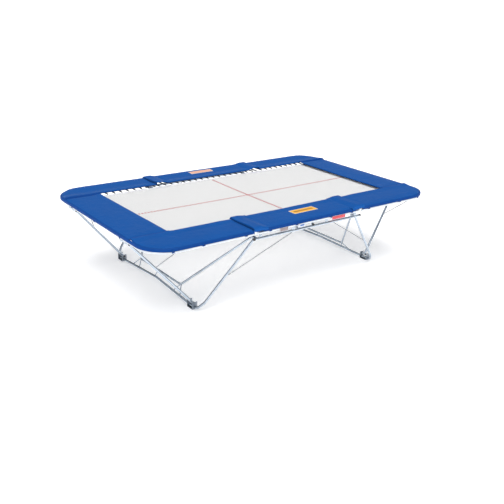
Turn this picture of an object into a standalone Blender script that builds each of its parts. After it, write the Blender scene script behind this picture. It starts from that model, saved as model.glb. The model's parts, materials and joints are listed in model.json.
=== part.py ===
"""Folding competition trampoline on two leg frames.

The centre section carries an end section on each side, hinged above the pads.
Two leg frames pivot on studs at the lower rails, and four struts hang under the end rails.
X is the length, Y the width and Z is up. The origin is on the floor under the bed's centre.
"""
import math

import bmesh
import bpy
from mathutils import Vector

# Whole object
HALF_LENGTH = 2.60
HALF_WIDTH = 1.525
PAD_TOP = 1.155

# Frame rails
RAIL_R = 0.025
RAIL_Z = 1.085
RAIL_Y = 1.485
END_RAIL_X = 2.555
FRAME_CORNER_R = 0.36
HINGE_X = 1.0
RAIL_END_GAP = 0.025

# Fold hinges
HINGE_Z = 1.170
EYE_R = 0.013
PIN_R = 0.006
BORE_GAP = 0.0005
LUG_T = 0.012
LUG_OUTLINE = (
    (-0.060, RAIL_Z - 0.010),
    (0.008, RAIL_Z - 0.010),
    (0.012, HINGE_Z),
    (-0.012, HINGE_Z),
    (-0.014, RAIL_Z + RAIL_R),
    (-0.060, RAIL_Z + 0.018),
)
BORE_REACH = 0.030
CENTRE_LUG_Y = 1.500
END_LUG_Y = 1.482
PIN_Y = (1.463, 1.509)

# Lower rails
LOWER_R = 0.019
LOWER_Z = 1.005
LOWER_HALF = 0.99
CAP_LENGTH = 0.02
CAP_R = 0.0205
SPACER_HALF = 0.022
SPACER_HALF_T = 0.008
SPACER_X = (-0.90, -0.315, 0.04, 0.32, 0.90)

# Pads
PAD_T = 0.035
PAD_INNER_X = 2.010
PAD_INNER_Y = {"near": 0.970, "far": 1.050}
PAD_CORNER_R = 0.40
PAD_END_GAP = 0.020
PAD_SEAM_GAP = 0.003

# Bed and springs
BED_X = 2.14
BED_Y = 1.07
BED_Z = 1.105
BED_T = 0.004
BED_SPLIT_GAP = 0.002
SPRING_T = 0.012
SPRING_W = 0.014
SPRING_SPINE = 0.012
SPRING_MARGIN = 0.030
SPRING_PITCH = 0.119
END_SPRING_PITCH = 0.093
TOUCH_GAP = 0.0003

# Leg frames, in a plane through the pivot and the foot line
PIVOT_X = 0.95
PIVOT_Z = 1.0
FOOT_X = 1.70
FOOT_Z = 0.030
OUTER_R = 0.019
INNER_R = 0.017
OUTER_TOP_Y = 1.432
OUTER_LOW = (1.10, 1.240)
OUTER_BAR_Y = 1.160
KINK_RISE = 0.050
INNER_TOP_Y = 1.372
INNER_LOW_Y = 0.585
INNER_BAR_S = 1.070
LEG_BEND_R = 0.085
BRACE_R = 0.008
BRACE_FEET = (0.515, 0.687)
BRACE_TOP_RISE = 0.012
BRACE_TOP_OUT = 0.005
POST_Y = 0.05
POST_GAP = 0.002
STUD_R = 0.010
STUD_Y = (1.322, 1.475)
STUD_HEAD_R = 0.017
STUD_HEAD_T = 0.006
LEG_EYE_R = 0.024
OUTER_EYE_Y = (1.412, 1.452)
INNER_EYE_Y = (1.350, 1.395)

# Foot brackets
FOOT_Y = (0.972, 1.112)
FOOT_HALF_X = 0.040
FOOT_HEIGHT = 0.112
FOOT_PLATE_T = 0.008
CHEEK_T = 0.005
CUT_REACH = 0.010

# Struts
STRUT_R = 0.020
STRUT_TOP = (2.53, 0.82, 1.035)
STRUT_FOOT = (1.70, 1.040, 0.082)
TEE_R = 0.017
TOP_TEE_RUN = (-0.026, 0.215)
FOOT_TEE_Y = (0.980, 1.064)
HANGER_RUN = (0.050, 0.165)
HANGER_T = 0.006
HANGER_X = (-0.026, 0.034)
HANGER_Z = (STRUT_TOP[2] - 0.028, RAIL_Z - 0.008)

# Chains
CHAIN_R = 0.004
CHAIN_GAP = 0.001
LONG_CHAIN_TOP_X = {"left": -0.27, "right": 0.43}
LONG_CHAIN_S = 0.67
SHORT_CHAIN_SHARE = 0.40
SHORT_CHAIN_RAIL_X = 2.19

# Plates and knob between the near rails
PLATE_Y = -1.5125
PLATE_T = 0.002
PLATE_Z = (1.040, 1.096)
PLATES = {
    "label_plate_grey": (-0.58, -0.43),
    "label_plate_white": (-0.25, -0.12),
    "label_plate_red": (0.40, 0.67),
}
KNOB_R = 0.016
KNOB_LENGTH = 0.026
KNOB_Z = 1.041

SIDES = {"left": -1, "right": 1}
ROWS = {"near": -1, "far": 1}


# ---------------------------------------------------------------- scene helpers
def clear_scene():
    for old in list(bpy.data.objects):
        bpy.data.objects.remove(old)


def new_collection(name):
    group = bpy.data.collections.new(name)
    bpy.context.scene.collection.children.link(group)
    return group


def principled(name, colour, roughness, metallic=0.0):
    mat = bpy.data.materials.new(name)
    mat.use_nodes = True
    shader = mat.node_tree.nodes["Principled BSDF"]
    shader.inputs["Base Color"].default_value = (*colour, 1.0)
    shader.inputs["Roughness"].default_value = roughness
    shader.inputs["Metallic"].default_value = metallic
    return mat


def place(name, mesh, mat, parent=None, smooth=True):
    """Link a mesh as a part, in the part's collection and under its body's empty."""
    part = bpy.data.objects.new(name, mesh)
    PARTS.objects.link(part)
    part.data.materials.clear()
    part.data.materials.append(mat)
    if smooth:
        part.data.shade_smooth()
        part.data.set_sharp_from_angle(angle=math.radians(35))
    if parent is not None:
        part.parent = parent
        part.matrix_parent_inverse = parent.matrix_world.inverted()
    return part


def tool(mesh):
    """Link a mesh as a boolean operand, which isn't a part."""
    helper = bpy.data.objects.new("cutter", mesh)
    CUTTERS.objects.link(helper)
    helper.hide_render = True
    helper.display_type = "WIRE"
    return helper


def combine(part, mesh, operation):
    step = part.modifiers.new(operation.lower(), "BOOLEAN")
    step.operation = operation
    step.solver = "EXACT"
    step.object = tool(mesh)


def axis_empty(name, x, y, z):
    empty = bpy.data.objects.new(name, None)
    empty.location = (x, y, z)
    PARTS.objects.link(empty)
    bpy.context.view_layer.update()
    return empty


# ---------------------------------------------------------------- shape helpers
def curve_to_mesh(curve):
    """The closed mesh of a curve, with its loose caps welded."""
    holder = bpy.data.objects.new("holder", curve)
    bpy.context.scene.collection.objects.link(holder)
    bpy.context.view_layer.update()
    evaluated = holder.evaluated_get(bpy.context.evaluated_depsgraph_get())
    mesh = bpy.data.meshes.new_from_object(evaluated)
    bpy.data.objects.remove(holder)
    bm = bmesh.new()
    bm.from_mesh(mesh)
    bmesh.ops.remove_doubles(bm, verts=bm.verts, dist=0.00005)
    bmesh.ops.recalc_face_normals(bm, faces=bm.faces)
    bm.to_mesh(mesh)
    bm.free()
    return mesh


def tube_mesh(points, radius, resolution=4):
    curve = bpy.data.curves.new("tube", "CURVE")
    curve.dimensions = "3D"
    curve.bevel_depth = radius
    curve.bevel_resolution = resolution
    curve.use_fill_caps = True
    spline = curve.splines.new("POLY")
    spline.points.add(len(points) - 1)
    for slot, point in zip(spline.points, points):
        slot.co = (*point, 1.0)
    return curve_to_mesh(curve)


def rod_mesh(start, end, radius, segments=16):
    """A straight round bar between two points."""
    start, end = Vector(start), Vector(end)
    run = end - start
    bm = bmesh.new()
    bmesh.ops.create_cone(
        bm, cap_ends=True, segments=segments, radius1=radius, radius2=radius, depth=run.length
    )
    turn = run.to_track_quat("Z", "Y").to_matrix()
    bmesh.ops.rotate(bm, cent=(0, 0, 0), matrix=turn, verts=bm.verts)
    bmesh.ops.translate(bm, vec=(start + end) / 2, verts=bm.verts)
    mesh = bpy.data.meshes.new("rod")
    bm.to_mesh(mesh)
    bm.free()
    return mesh


def box_mesh(low, high):
    bm = bmesh.new()
    bmesh.ops.create_cube(bm, size=1.0)
    size = Vector(high) - Vector(low)
    bmesh.ops.scale(bm, vec=size, verts=bm.verts)
    bmesh.ops.translate(bm, vec=(Vector(high) + Vector(low)) / 2, verts=bm.verts)
    mesh = bpy.data.meshes.new("box")
    bm.to_mesh(mesh)
    bm.free()
    return mesh


def span_box(x, y, z):
    """A box from two ends on each axis, given in either order."""
    return box_mesh((min(x), min(y), min(z)), (max(x), max(y), max(z)))


def flat_mesh(points, low, high, upright=False):
    """A flat outline with a thickness: in XY between two heights, or in XZ between two depths."""
    curve = bpy.data.curves.new("outline", "CURVE")
    curve.dimensions = "2D"
    curve.fill_mode = "BOTH"
    curve.extrude = (high - low) / 2
    spline = curve.splines.new("POLY")
    spline.use_cyclic_u = True
    spline.points.add(len(points) - 1)
    for slot, (u, v) in zip(spline.points, points):
        slot.co = (u, v, 0.0, 1.0)
    mesh = curve_to_mesh(curve)
    middle = (low + high) / 2
    for vert in mesh.vertices:
        u, v, w = vert.co
        vert.co = (u, middle - w, v) if upright else (u, v, w + middle)
    return mesh


def arc(centre, radius, start, stop, steps):
    """Points along a circle, from one angle to another in degrees."""
    turns = [math.radians(start + (stop - start) * i / steps) for i in range(steps + 1)]
    return [(centre[0] + radius * math.cos(t), centre[1] + radius * math.sin(t)) for t in turns]


def rounded(points, radius, steps=6):
    """A path whose inner corners are arcs."""
    path = [Vector(points[0])]
    for before, corner, after in zip(points, points[1:], points[2:]):
        corner = Vector(corner)
        back = (Vector(before) - corner).normalized()
        ahead = (Vector(after) - corner).normalized()
        half = back.angle(ahead) / 2
        reach = radius / math.tan(half)
        centre = corner + (back + ahead).normalized() * (radius / math.sin(half))
        first = corner + back * reach - centre
        last = corner + ahead * reach - centre
        turn = first.angle(last)
        for i in range(steps + 1):
            before_share = math.sin(turn * (1 - i / steps)) / math.sin(turn)
            after_share = math.sin(turn * i / steps) / math.sin(turn)
            path.append(centre + first * before_share + last * after_share)
    path.append(Vector(points[-1]))
    return path


# ---------------------------------------------------------------- centre section
def lug_mesh(side, inward, middle_y):
    """A hinge lug that rises from a rail's end to the fold axis; inward is 1 on the centre section."""
    points = [(side * (HINGE_X + inward * u), v) for u, v in LUG_OUTLINE]
    return flat_mesh(points, middle_y - LUG_T / 2, middle_y + LUG_T / 2, upright=True)


def add_lug(rail, side, row, inward, lug_y):
    """Weld one drilled lug to a rail."""
    low_y = row * lug_y - LUG_T / 2
    eye = ((side * HINGE_X, low_y, HINGE_Z), (side * HINGE_X, low_y + LUG_T, HINGE_Z))
    high_y = low_y + BORE_REACH
    bore = ((side * HINGE_X, low_y - BORE_REACH, HINGE_Z), (side * HINGE_X, high_y, HINGE_Z))
    combine(rail, lug_mesh(side, inward, row * lug_y), "UNION")
    combine(rail, rod_mesh(*eye, EYE_R, 20), "UNION")
    combine(rail, rod_mesh(*bore, PIN_R + BORE_GAP, 20), "DIFFERENCE")


def build_main_rail(name, row):
    end = HINGE_X - RAIL_END_GAP
    path = [(-end, row * RAIL_Y, RAIL_Z), (end, row * RAIL_Y, RAIL_Z)]
    rail = place(f"main_rail_{name}", tube_mesh(path, RAIL_R), STEEL)
    for side in SIDES.values():
        add_lug(rail, side, row, 1, CENTRE_LUG_Y)


def build_hinge_pin(side_name, row_name):
    x = SIDES[side_name] * HINGE_X
    row = ROWS[row_name]
    mesh = rod_mesh((x, row * PIN_Y[0], HINGE_Z), (x, row * PIN_Y[1], HINGE_Z), PIN_R)
    place(f"hinge_pin_{side_name}_{row_name}", mesh, BRIGHT_STEEL)


def build_lower_rail(name, row):
    """The lower rail with its welded spacers and the two leg pivot studs."""
    y = row * RAIL_Y
    path = [(-LOWER_HALF, y, LOWER_Z), (LOWER_HALF, y, LOWER_Z)]
    rail = place(f"lower_rail_{name}", tube_mesh(path, LOWER_R), STEEL)
    top = RAIL_Z - RAIL_R - TOUCH_GAP
    for x in SPACER_X:
        thick = (y - SPACER_HALF_T, y + SPACER_HALF_T)
        post = span_box((x - SPACER_HALF, x + SPACER_HALF), thick, (LOWER_Z, top))
        combine(rail, post, "UNION")
    for side in SIDES.values():
        x = side * PIVOT_X
        shank = ((x, row * STUD_Y[0], PIVOT_Z), (x, row * STUD_Y[1], PIVOT_Z))
        head = ((x, row * STUD_Y[0], PIVOT_Z), (x, row * (STUD_Y[0] + STUD_HEAD_T), PIVOT_Z))
        combine(rail, rod_mesh(*shank, STUD_R), "UNION")
        combine(rail, rod_mesh(*head, STUD_HEAD_R), "UNION")


def build_rail_cap(side_name, row_name):
    y = ROWS[row_name] * RAIL_Y
    start = SIDES[side_name] * (LOWER_HALF + TOUCH_GAP)
    end = SIDES[side_name] * (LOWER_HALF + CAP_LENGTH)
    mesh = rod_mesh((start, y, LOWER_Z), (end, y, LOWER_Z), CAP_R)
    place(f"lower_rail_cap_{side_name}_{row_name}", mesh, BLACK_PLASTIC)


def build_plates_and_knob():
    for name, ends in PLATES.items():
        mesh = span_box(ends, (PLATE_Y, PLATE_Y + PLATE_T), PLATE_Z)
        place(name, mesh, PLATE_MATERIALS[name], smooth=False)
    x = SPACER_X[2]
    face = -RAIL_Y - SPACER_HALF_T - TOUCH_GAP
    knob = rod_mesh((x, face, KNOB_Z), (x, face - KNOB_LENGTH, KNOB_Z), KNOB_R)
    place("lock_knob", knob, BLACK_PLASTIC)


# ---------------------------------------------------------------- pads
def build_pad(name, outline, parent=None):
    """A foam pad: a flat slab that lies over the rail and the springs."""
    place(name, flat_mesh(outline, PAD_TOP - PAD_T, PAD_TOP), BLUE_VINYL, parent)


def build_middle_pad(row_name, row):
    x = HINGE_X - PAD_END_GAP
    outer = row * HALF_WIDTH
    inner = row * PAD_INNER_Y[row_name]
    build_pad(f"pad_middle_{row_name}", [(-x, inner), (x, inner), (x, outer), (-x, outer)])


def build_corner_pad(side_name, row_name, parent):
    """The pad along one long side of an end section, with the rounded corner."""
    side, row = SIDES[side_name], ROWS[row_name]
    x0 = HINGE_X + PAD_END_GAP
    inner = PAD_INNER_Y[row_name]
    centre = (HALF_LENGTH - PAD_CORNER_R, HALF_WIDTH - PAD_CORNER_R)
    line = [(x0, HALF_WIDTH)] + arc(centre, PAD_CORNER_R, 90, 0, 12)
    line += [(HALF_LENGTH, inner), (x0, inner)]
    build_pad(f"pad_corner_{side_name}_{row_name}", [(side * u, row * v) for u, v in line], parent)


def build_end_pad(side_name, parent):
    side = SIDES[side_name]
    low = -PAD_INNER_Y["near"] + PAD_SEAM_GAP
    high = PAD_INNER_Y["far"] - PAD_SEAM_GAP
    outer, inner = side * HALF_LENGTH, side * PAD_INNER_X
    build_pad(f"pad_end_{side_name}", [(inner, low), (outer, low), (outer, high), (inner, high)], parent)


# ---------------------------------------------------------------- bed and springs
def comb(name, places, rail_line, bed_line, turned, parent=None):
    """A row of springs on a spine at the rail; turned rows lie along Y."""
    inward = 1 if bed_line > rail_line else -1
    spine = rail_line + inward * SPRING_SPINE
    half = SPRING_W / 2
    line = [(places[0] - half, rail_line)]
    for at in places:
        line += [(at - half, spine), (at - half, bed_line), (at + half, bed_line), (at + half, spine)]
    line.append((places[-1] + half, rail_line))
    line.pop(1)
    line.pop(-2)
    if turned:
        line = [(v, u) for u, v in line]
    mesh = flat_mesh(line, BED_Z - SPRING_T / 2, BED_Z + SPRING_T / 2)
    place(name, mesh, DARK_STEEL, parent)


def row_places(low, high, pitch):
    """Evenly spaced places, centred between two limits."""
    count = int((high - low) / pitch) + 1
    first = (low + high) / 2 - pitch * (count - 1) / 2
    return [first + pitch * i for i in range(count)]


def build_bed(name, low, high, parent=None):
    mesh = box_mesh((low, -BED_Y, BED_Z - BED_T / 2), (high, BED_Y, BED_Z + BED_T / 2))
    place(name, mesh, WHITE_WEBBING, parent, smooth=False)


def build_side_springs(name, row, low, high, parent=None):
    rail_line = row * (RAIL_Y - RAIL_R - TOUCH_GAP)
    bed_line = row * (BED_Y + TOUCH_GAP)
    comb(name, row_places(low, high, SPRING_PITCH), rail_line, bed_line, False, parent)


def build_end_springs(side_name, parent):
    side = SIDES[side_name]
    rail_line = side * (END_RAIL_X - RAIL_R - TOUCH_GAP)
    bed_line = side * (BED_X + TOUCH_GAP)
    reach = BED_Y - SPRING_MARGIN
    places = row_places(-reach, reach, END_SPRING_PITCH)
    comb(f"spring_row_{side_name}_end", places, rail_line, bed_line, True, parent)


# ---------------------------------------------------------------- end sections
def build_end_frame(side_name, parent):
    """The U-shaped tube of an end section, with hinge lugs and strut hangers."""
    side = SIDES[side_name]
    start = HINGE_X + RAIL_END_GAP
    centre = (END_RAIL_X - FRAME_CORNER_R, RAIL_Y - FRAME_CORNER_R)
    half = [(start, RAIL_Y)] + arc(centre, FRAME_CORNER_R, 90, 0, 10)
    loop = half + [(x, -y) for x, y in reversed(half)]
    path = [(side * x, y, RAIL_Z) for x, y in loop]
    frame = place(f"end_frame_{side_name}", tube_mesh(path, RAIL_R), STEEL, parent)
    for row in ROWS.values():
        add_lug(frame, side, row, -1, END_LUG_Y)
        for offset in HANGER_RUN:
            add_hanger(frame, side, row * STRUT_TOP[1] + offset)


def add_hanger(frame, side, y):
    """A drilled plate under the end rail that holds a strut's top cross tube."""
    x, _, z = STRUT_TOP
    span_y = (y - HANGER_T / 2, y + HANGER_T / 2)
    span_x = [side * (x + reach) for reach in HANGER_X]
    plate = span_box(span_x, span_y, HANGER_Z)
    ends = ((side * x, y - BORE_REACH, z), (side * x, y + BORE_REACH, z))
    bore = rod_mesh(*ends, TEE_R + BORE_GAP, 20)
    combine(frame, plate, "UNION")
    combine(frame, bore, "DIFFERENCE")


# ---------------------------------------------------------------- leg frames
def leg_point(side, s, y):
    """A place in a leg frame's plane, s along it from the pivot."""
    run = Vector((FOOT_X - PIVOT_X, 0.0, FOOT_Z - PIVOT_Z)).normalized()
    return Vector((side * (PIVOT_X + run.x * s), y, PIVOT_Z + run.z * s))


def leg_length():
    return math.hypot(FOOT_X - PIVOT_X, FOOT_Z - PIVOT_Z)


def bar_s(y):
    """How far down the plane the outer bar's middle line is at a width."""
    return leg_length() - KINK_RISE * max(0.0, 1.0 - abs(y) / FOOT_Y[0])


def outer_path(side):
    low_s, low_y = OUTER_LOW
    length = leg_length()
    half = [(0.0, OUTER_TOP_Y), (low_s, low_y), (length, OUTER_BAR_Y), (length, FOOT_Y[0])]
    plan = half + [(bar_s(0), 0.0)] + [(s, -y) for s, y in reversed(half)]
    return rounded([leg_point(side, s, y) for s, y in plan], LEG_BEND_R, 5)


def drill_eye(part, side, row, ends, radius):
    """A cross tube at the top of a leg arm, drilled for its stud."""
    x = side * PIVOT_X
    eye = rod_mesh((x, row * ends[0], PIVOT_Z), (x, row * ends[1], PIVOT_Z), radius)
    low, high = ends[0] - BORE_REACH, ends[1] + BORE_REACH
    reach = ((x, row * low, PIVOT_Z), (x, row * high, PIVOT_Z))
    combine(part, eye, "UNION")
    combine(part, rod_mesh(*reach, STUD_R + BORE_GAP, 20), "DIFFERENCE")


def build_outer_leg(side_name, parent):
    side = SIDES[side_name]
    mesh = tube_mesh(outer_path(side), OUTER_R)
    frame = place(f"leg_outer_frame_{side_name}", mesh, STEEL, parent)
    for row in ROWS.values():
        drill_eye(frame, side, row, OUTER_EYE_Y, LEG_EYE_R)


def build_inner_leg(side_name, parent):
    """The inner U with its thin braces, which end just short of the outer bar."""
    side = SIDES[side_name]
    half = [(0.0, INNER_TOP_Y), (INNER_BAR_S, INNER_LOW_Y)]
    plan = half + [(s, -y) for s, y in reversed(half)]
    path = rounded([leg_point(side, s, y) for s, y in plan], LEG_BEND_R, 5)
    frame = place(f"leg_inner_frame_{side_name}", tube_mesh(path, INNER_R), STEEL, parent)
    for row in ROWS.values():
        drill_eye(frame, side, row, INNER_EYE_Y, LEG_EYE_R)
        for y in BRACE_FEET:
            top_s, top_y = INNER_BAR_S - BRACE_TOP_RISE, INNER_LOW_Y + BRACE_TOP_OUT
            top = leg_point(side, top_s, row * top_y)
            foot = leg_point(side, bar_s(y) - OUTER_R - BRACE_R, row * y)
            combine(frame, rod_mesh(top, foot, BRACE_R, 10), "UNION")
    post_foot = leg_point(side, bar_s(POST_Y) - OUTER_R - POST_GAP, POST_Y)
    post = (leg_point(side, INNER_BAR_S, POST_Y), post_foot)
    combine(frame, rod_mesh(*post, BRACE_R, 10), "UNION")


def build_foot_bracket(side_name, row_name, parent):
    """A channel that stands on the floor round the outer bar and holds a strut's foot."""
    side, row = SIDES[side_name], ROWS[row_name]
    x = (side * (FOOT_X - FOOT_HALF_X), side * (FOOT_X + FOOT_HALF_X))
    y = (row * FOOT_Y[0], row * FOOT_Y[1])
    body = span_box(x, y, (0.0, FOOT_HEIGHT))
    bracket = place(f"foot_bracket_{side_name}_{row_name}", body, STEEL, parent, smooth=False)
    wide = (x[0] - side * CUT_REACH, x[1] + side * CUT_REACH)
    inside = (row * (FOOT_Y[0] + CHEEK_T), row * (FOOT_Y[1] - CHEEK_T))
    combine(bracket, span_box(wide, inside, (FOOT_PLATE_T, FOOT_HEIGHT + CUT_REACH)), "DIFFERENCE")
    combine(bracket, tube_mesh(outer_path(side), OUTER_R + BORE_GAP), "DIFFERENCE")


# ---------------------------------------------------------------- struts and chains
def build_strut(side_name, row_name, parent):
    """A strut with a cross tube at each end; its foot rests in the leg's foot bracket.

    All four struts are the same part, so the upper cross tube points the same way on both sides.
    """
    side, row = SIDES[side_name], ROWS[row_name]
    top = (side * STRUT_TOP[0], row * STRUT_TOP[1], STRUT_TOP[2])
    foot = (side * STRUT_FOOT[0], row * STRUT_FOOT[1], STRUT_FOOT[2])
    strut = place(f"strut_{side_name}_{row_name}", rod_mesh(top, foot, STRUT_R), STEEL, parent)
    top_ends = [top[1] + offset for offset in TOP_TEE_RUN]
    foot_ends = [row * y for y in FOOT_TEE_Y]
    for (x, _, z), ends in ((top, top_ends), (foot, foot_ends)):
        combine(strut, rod_mesh((x, ends[0], z), (x, ends[1], z), TEE_R), "UNION")


def build_long_chain(side_name, row_name):
    side, row = SIDES[side_name], ROWS[row_name]
    share = LONG_CHAIN_S / OUTER_LOW[0]
    arm_top = leg_point(side, 0.0, row * OUTER_TOP_Y)
    arm_low = leg_point(side, OUTER_LOW[0], row * OUTER_LOW[1])
    top = Vector((LONG_CHAIN_TOP_X[side_name], row * RAIL_Y, LOWER_Z))
    foot = arm_top.lerp(arm_low, share)
    ends = ((top, Vector((1, 0, 0)), LOWER_R), (foot, arm_low - arm_top, OUTER_R))
    build_chain(f"chain_long_{side_name}_{row_name}", *ends)


def build_short_chain(side_name, row_name, parent):
    side, row = SIDES[side_name], ROWS[row_name]
    top = Vector((side * STRUT_TOP[0], row * STRUT_TOP[1], STRUT_TOP[2]))
    foot = Vector((side * STRUT_FOOT[0], row * STRUT_FOOT[1], STRUT_FOOT[2]))
    rail = Vector((side * SHORT_CHAIN_RAIL_X, row * RAIL_Y, RAIL_Z))
    middle = top.lerp(foot, SHORT_CHAIN_SHARE)
    ends = ((rail, Vector((1, 0, 0)), RAIL_R), (middle, foot - top, STRUT_R))
    build_chain(f"chain_short_{side_name}_{row_name}", *ends, parent)


def build_chain(name, start, end, parent=None):
    """A taut chain from the skin of one tube to the skin of another; an end is place, run, radius."""
    along = (end[0] - start[0]).normalized()
    back = [(radius + CHAIN_R + CHAIN_GAP) / math.sin(along.angle(run)) for _, run, radius in (start, end)]
    mesh = rod_mesh(start[0] + along * back[0], end[0] - along * back[1], CHAIN_R, 8)
    place(name, mesh, BRIGHT_STEEL, parent)


# ---------------------------------------------------------------- assembly
def build_centre_section():
    for row_name, row in ROWS.items():
        build_main_rail(row_name, row)
        build_lower_rail(row_name, row)
        build_middle_pad(row_name, row)
        reach = HINGE_X - SPRING_MARGIN
        build_side_springs(f"spring_row_middle_{row_name}", row, -reach, reach)
        for side_name in SIDES:
            build_hinge_pin(side_name, row_name)
            build_rail_cap(side_name, row_name)
            build_long_chain(side_name, row_name)
    build_bed("bed_middle", -HINGE_X + BED_SPLIT_GAP, HINGE_X - BED_SPLIT_GAP)
    build_plates_and_knob()


def build_end_section(side_name, side):
    fold = axis_empty(f"{side_name}_fold_axis", side * HINGE_X, 0.0, HINGE_Z)
    build_end_frame(side_name, fold)
    build_end_pad(side_name, fold)
    build_end_springs(side_name, fold)
    near_x, far_x = sorted((side * (HINGE_X + BED_SPLIT_GAP), side * BED_X))
    build_bed(f"bed_{side_name}", near_x, far_x, fold)
    low, high = sorted((side * (HINGE_X + SPRING_MARGIN), side * (BED_X - SPRING_MARGIN)))
    for row_name, row in ROWS.items():
        build_corner_pad(side_name, row_name, fold)
        build_side_springs(f"spring_row_{side_name}_{row_name}", row, low, high, fold)
        build_short_chain(side_name, row_name, fold)
        swing = axis_empty(f"{side_name}_{row_name}_strut_axis", side * STRUT_TOP[0], 0.0, STRUT_TOP[2])
        build_strut(side_name, row_name, swing)


def build_leg(side_name, side):
    pivot = axis_empty(f"{side_name}_leg_axis", side * PIVOT_X, 0.0, PIVOT_Z)
    build_outer_leg(side_name, pivot)
    build_inner_leg(side_name, pivot)
    for row_name in ROWS:
        build_foot_bracket(side_name, row_name, pivot)


clear_scene()
PARTS = new_collection("trampoline")
CUTTERS = new_collection("cutters")
STEEL = principled("zinc_plated_steel", (0.56, 0.60, 0.64), 0.35, 1.0)
BRIGHT_STEEL = principled("bright_steel", (0.70, 0.72, 0.74), 0.28, 1.0)
DARK_STEEL = principled("spring_steel", (0.10, 0.11, 0.13), 0.45, 1.0)
BLUE_VINYL = principled("blue_vinyl", (0.016, 0.085, 0.36), 0.45)
WHITE_WEBBING = principled("white_webbing", (0.80, 0.80, 0.78), 0.75)
BLACK_PLASTIC = principled("black_plastic", (0.015, 0.015, 0.017), 0.5)
PLATE_MATERIALS = {
    "label_plate_grey": principled("grey_plate", (0.42, 0.36, 0.35), 0.5),
    "label_plate_white": principled("white_plate", (0.75, 0.80, 0.88), 0.4),
    "label_plate_red": principled("red_plate", (0.80, 0.10, 0.12), 0.4),
}

build_centre_section()
for side_name, side in SIDES.items():
    build_end_section(side_name, side)
    build_leg(side_name, side)
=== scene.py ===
import json
import math

import bmesh
import bpy
import numpy as np
from mathutils import Matrix, Vector
from mathutils.bvhtree import BVHTree


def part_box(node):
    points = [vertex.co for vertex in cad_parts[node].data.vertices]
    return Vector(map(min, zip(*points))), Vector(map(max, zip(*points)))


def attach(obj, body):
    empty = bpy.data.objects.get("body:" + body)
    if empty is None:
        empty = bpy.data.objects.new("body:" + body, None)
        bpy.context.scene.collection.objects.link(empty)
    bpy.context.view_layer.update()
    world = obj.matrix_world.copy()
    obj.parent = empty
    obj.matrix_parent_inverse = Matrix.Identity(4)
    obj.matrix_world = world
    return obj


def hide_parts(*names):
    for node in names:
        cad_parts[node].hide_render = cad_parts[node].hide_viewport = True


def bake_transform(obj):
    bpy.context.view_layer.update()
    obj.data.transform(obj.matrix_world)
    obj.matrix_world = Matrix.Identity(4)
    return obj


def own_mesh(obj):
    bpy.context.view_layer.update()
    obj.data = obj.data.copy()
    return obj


# Folding competition trampoline: the looks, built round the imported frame.
# X is the length, Y the width and Z is up; the origin is on the floor under the bed's centre.
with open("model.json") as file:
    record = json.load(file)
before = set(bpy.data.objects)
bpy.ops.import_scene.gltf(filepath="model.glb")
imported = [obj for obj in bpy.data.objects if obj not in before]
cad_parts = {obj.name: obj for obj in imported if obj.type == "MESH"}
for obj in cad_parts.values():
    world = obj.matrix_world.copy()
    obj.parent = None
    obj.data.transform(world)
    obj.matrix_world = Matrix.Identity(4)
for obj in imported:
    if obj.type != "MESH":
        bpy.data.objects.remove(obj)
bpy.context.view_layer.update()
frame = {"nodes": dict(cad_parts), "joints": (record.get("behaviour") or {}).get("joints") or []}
JOINT = {joint["name"]: joint for joint in frame["joints"]}
SIDES = {"left": -1, "right": 1}
ROWS = {"near": -1, "far": 1}

# Places that the frame gives
HINGE_X = JOINT["right_fold"]["pos_m"][0]
HINGE_Z = JOINT["right_fold"]["pos_m"][2]
PIVOT_X = JOINT["right_leg_fold"]["pos_m"][0]
PIVOT_Z = JOINT["right_leg_fold"]["pos_m"][2]
STRUT_TOP = Vector(JOINT["right_far_strut_swing"]["pos_m"])
HALF_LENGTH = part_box("pad_end_right")[1].x
HALF_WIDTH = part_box("pad_middle_far")[1].y
PAD_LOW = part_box("pad_middle_far")[0].z
PAD_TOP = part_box("pad_middle_far")[1].z
PAD_END_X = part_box("pad_corner_right_far")[0].x
PAD_INNER_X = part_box("pad_end_right")[0].x
PAD_INNER_Y = {"near": -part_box("pad_middle_near")[1].y, "far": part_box("pad_middle_far")[0].y}
END_PAD_Y = (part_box("pad_end_right")[0].y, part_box("pad_end_right")[1].y)
BED_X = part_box("bed_right")[1].x
BED_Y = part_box("bed_right")[1].y
BED_Z = (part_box("bed_right")[0].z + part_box("bed_right")[1].z) / 2
RAIL_END = HINGE_X - 0.025
LOWER_HALF = 0.99

# Tubes of the frame
RAIL_R = 0.025
RAIL_Z = 1.085
RAIL_Y = 1.485
END_RAIL_X = 2.555
FRAME_CORNER_R = 0.36
LOWER_R = 0.019
LOWER_Z = 1.005
SPACER_X = (-0.90, -0.315, 0.04, 0.32, 0.90)
SPACER_HALF_W = 0.022
SPACER_HALF_T = 0.008
BOLT_RISE = 0.036
BOLT_HEAD_R = 0.007
BOLT_HEAD_T = 0.006
KNOB_RIBS = 12
EYE_R = 0.013
LUG_T = 0.012
WELD_POINTS = 22
CENTRE_LUG_Y = 1.500
END_LUG_Y = 1.482

# Leg frames, in a plane through the pivot and the foot line
FOOT_X = 1.70
FOOT_Z = 0.030
OUTER_R = 0.019
INNER_R = 0.017
OUTER_TOP_Y = 1.432
OUTER_LOW = (1.10, 1.240)
OUTER_BAR_Y = 1.160
KINK_RISE = 0.050
INNER_TOP_Y = 1.372
INNER_LOW_Y = 0.585
INNER_BAR_S = 1.070
LEG_BEND_R = 0.085
BRACE_R = 0.008
BRACE_FEET = (0.515, 0.687)
POST_Y = 0.05
STUD_R = 0.010
STUD_Y = (1.322, 1.475)
STUD_HEAD = 0.007
WASHER_Y = (1.398, 1.409)
LEG_EYE_R = 0.024
OUTER_EYE_Y = (1.412, 1.452)
INNER_EYE_Y = (1.350, 1.395)
FOOT_Y = (0.972, 1.112)

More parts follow.
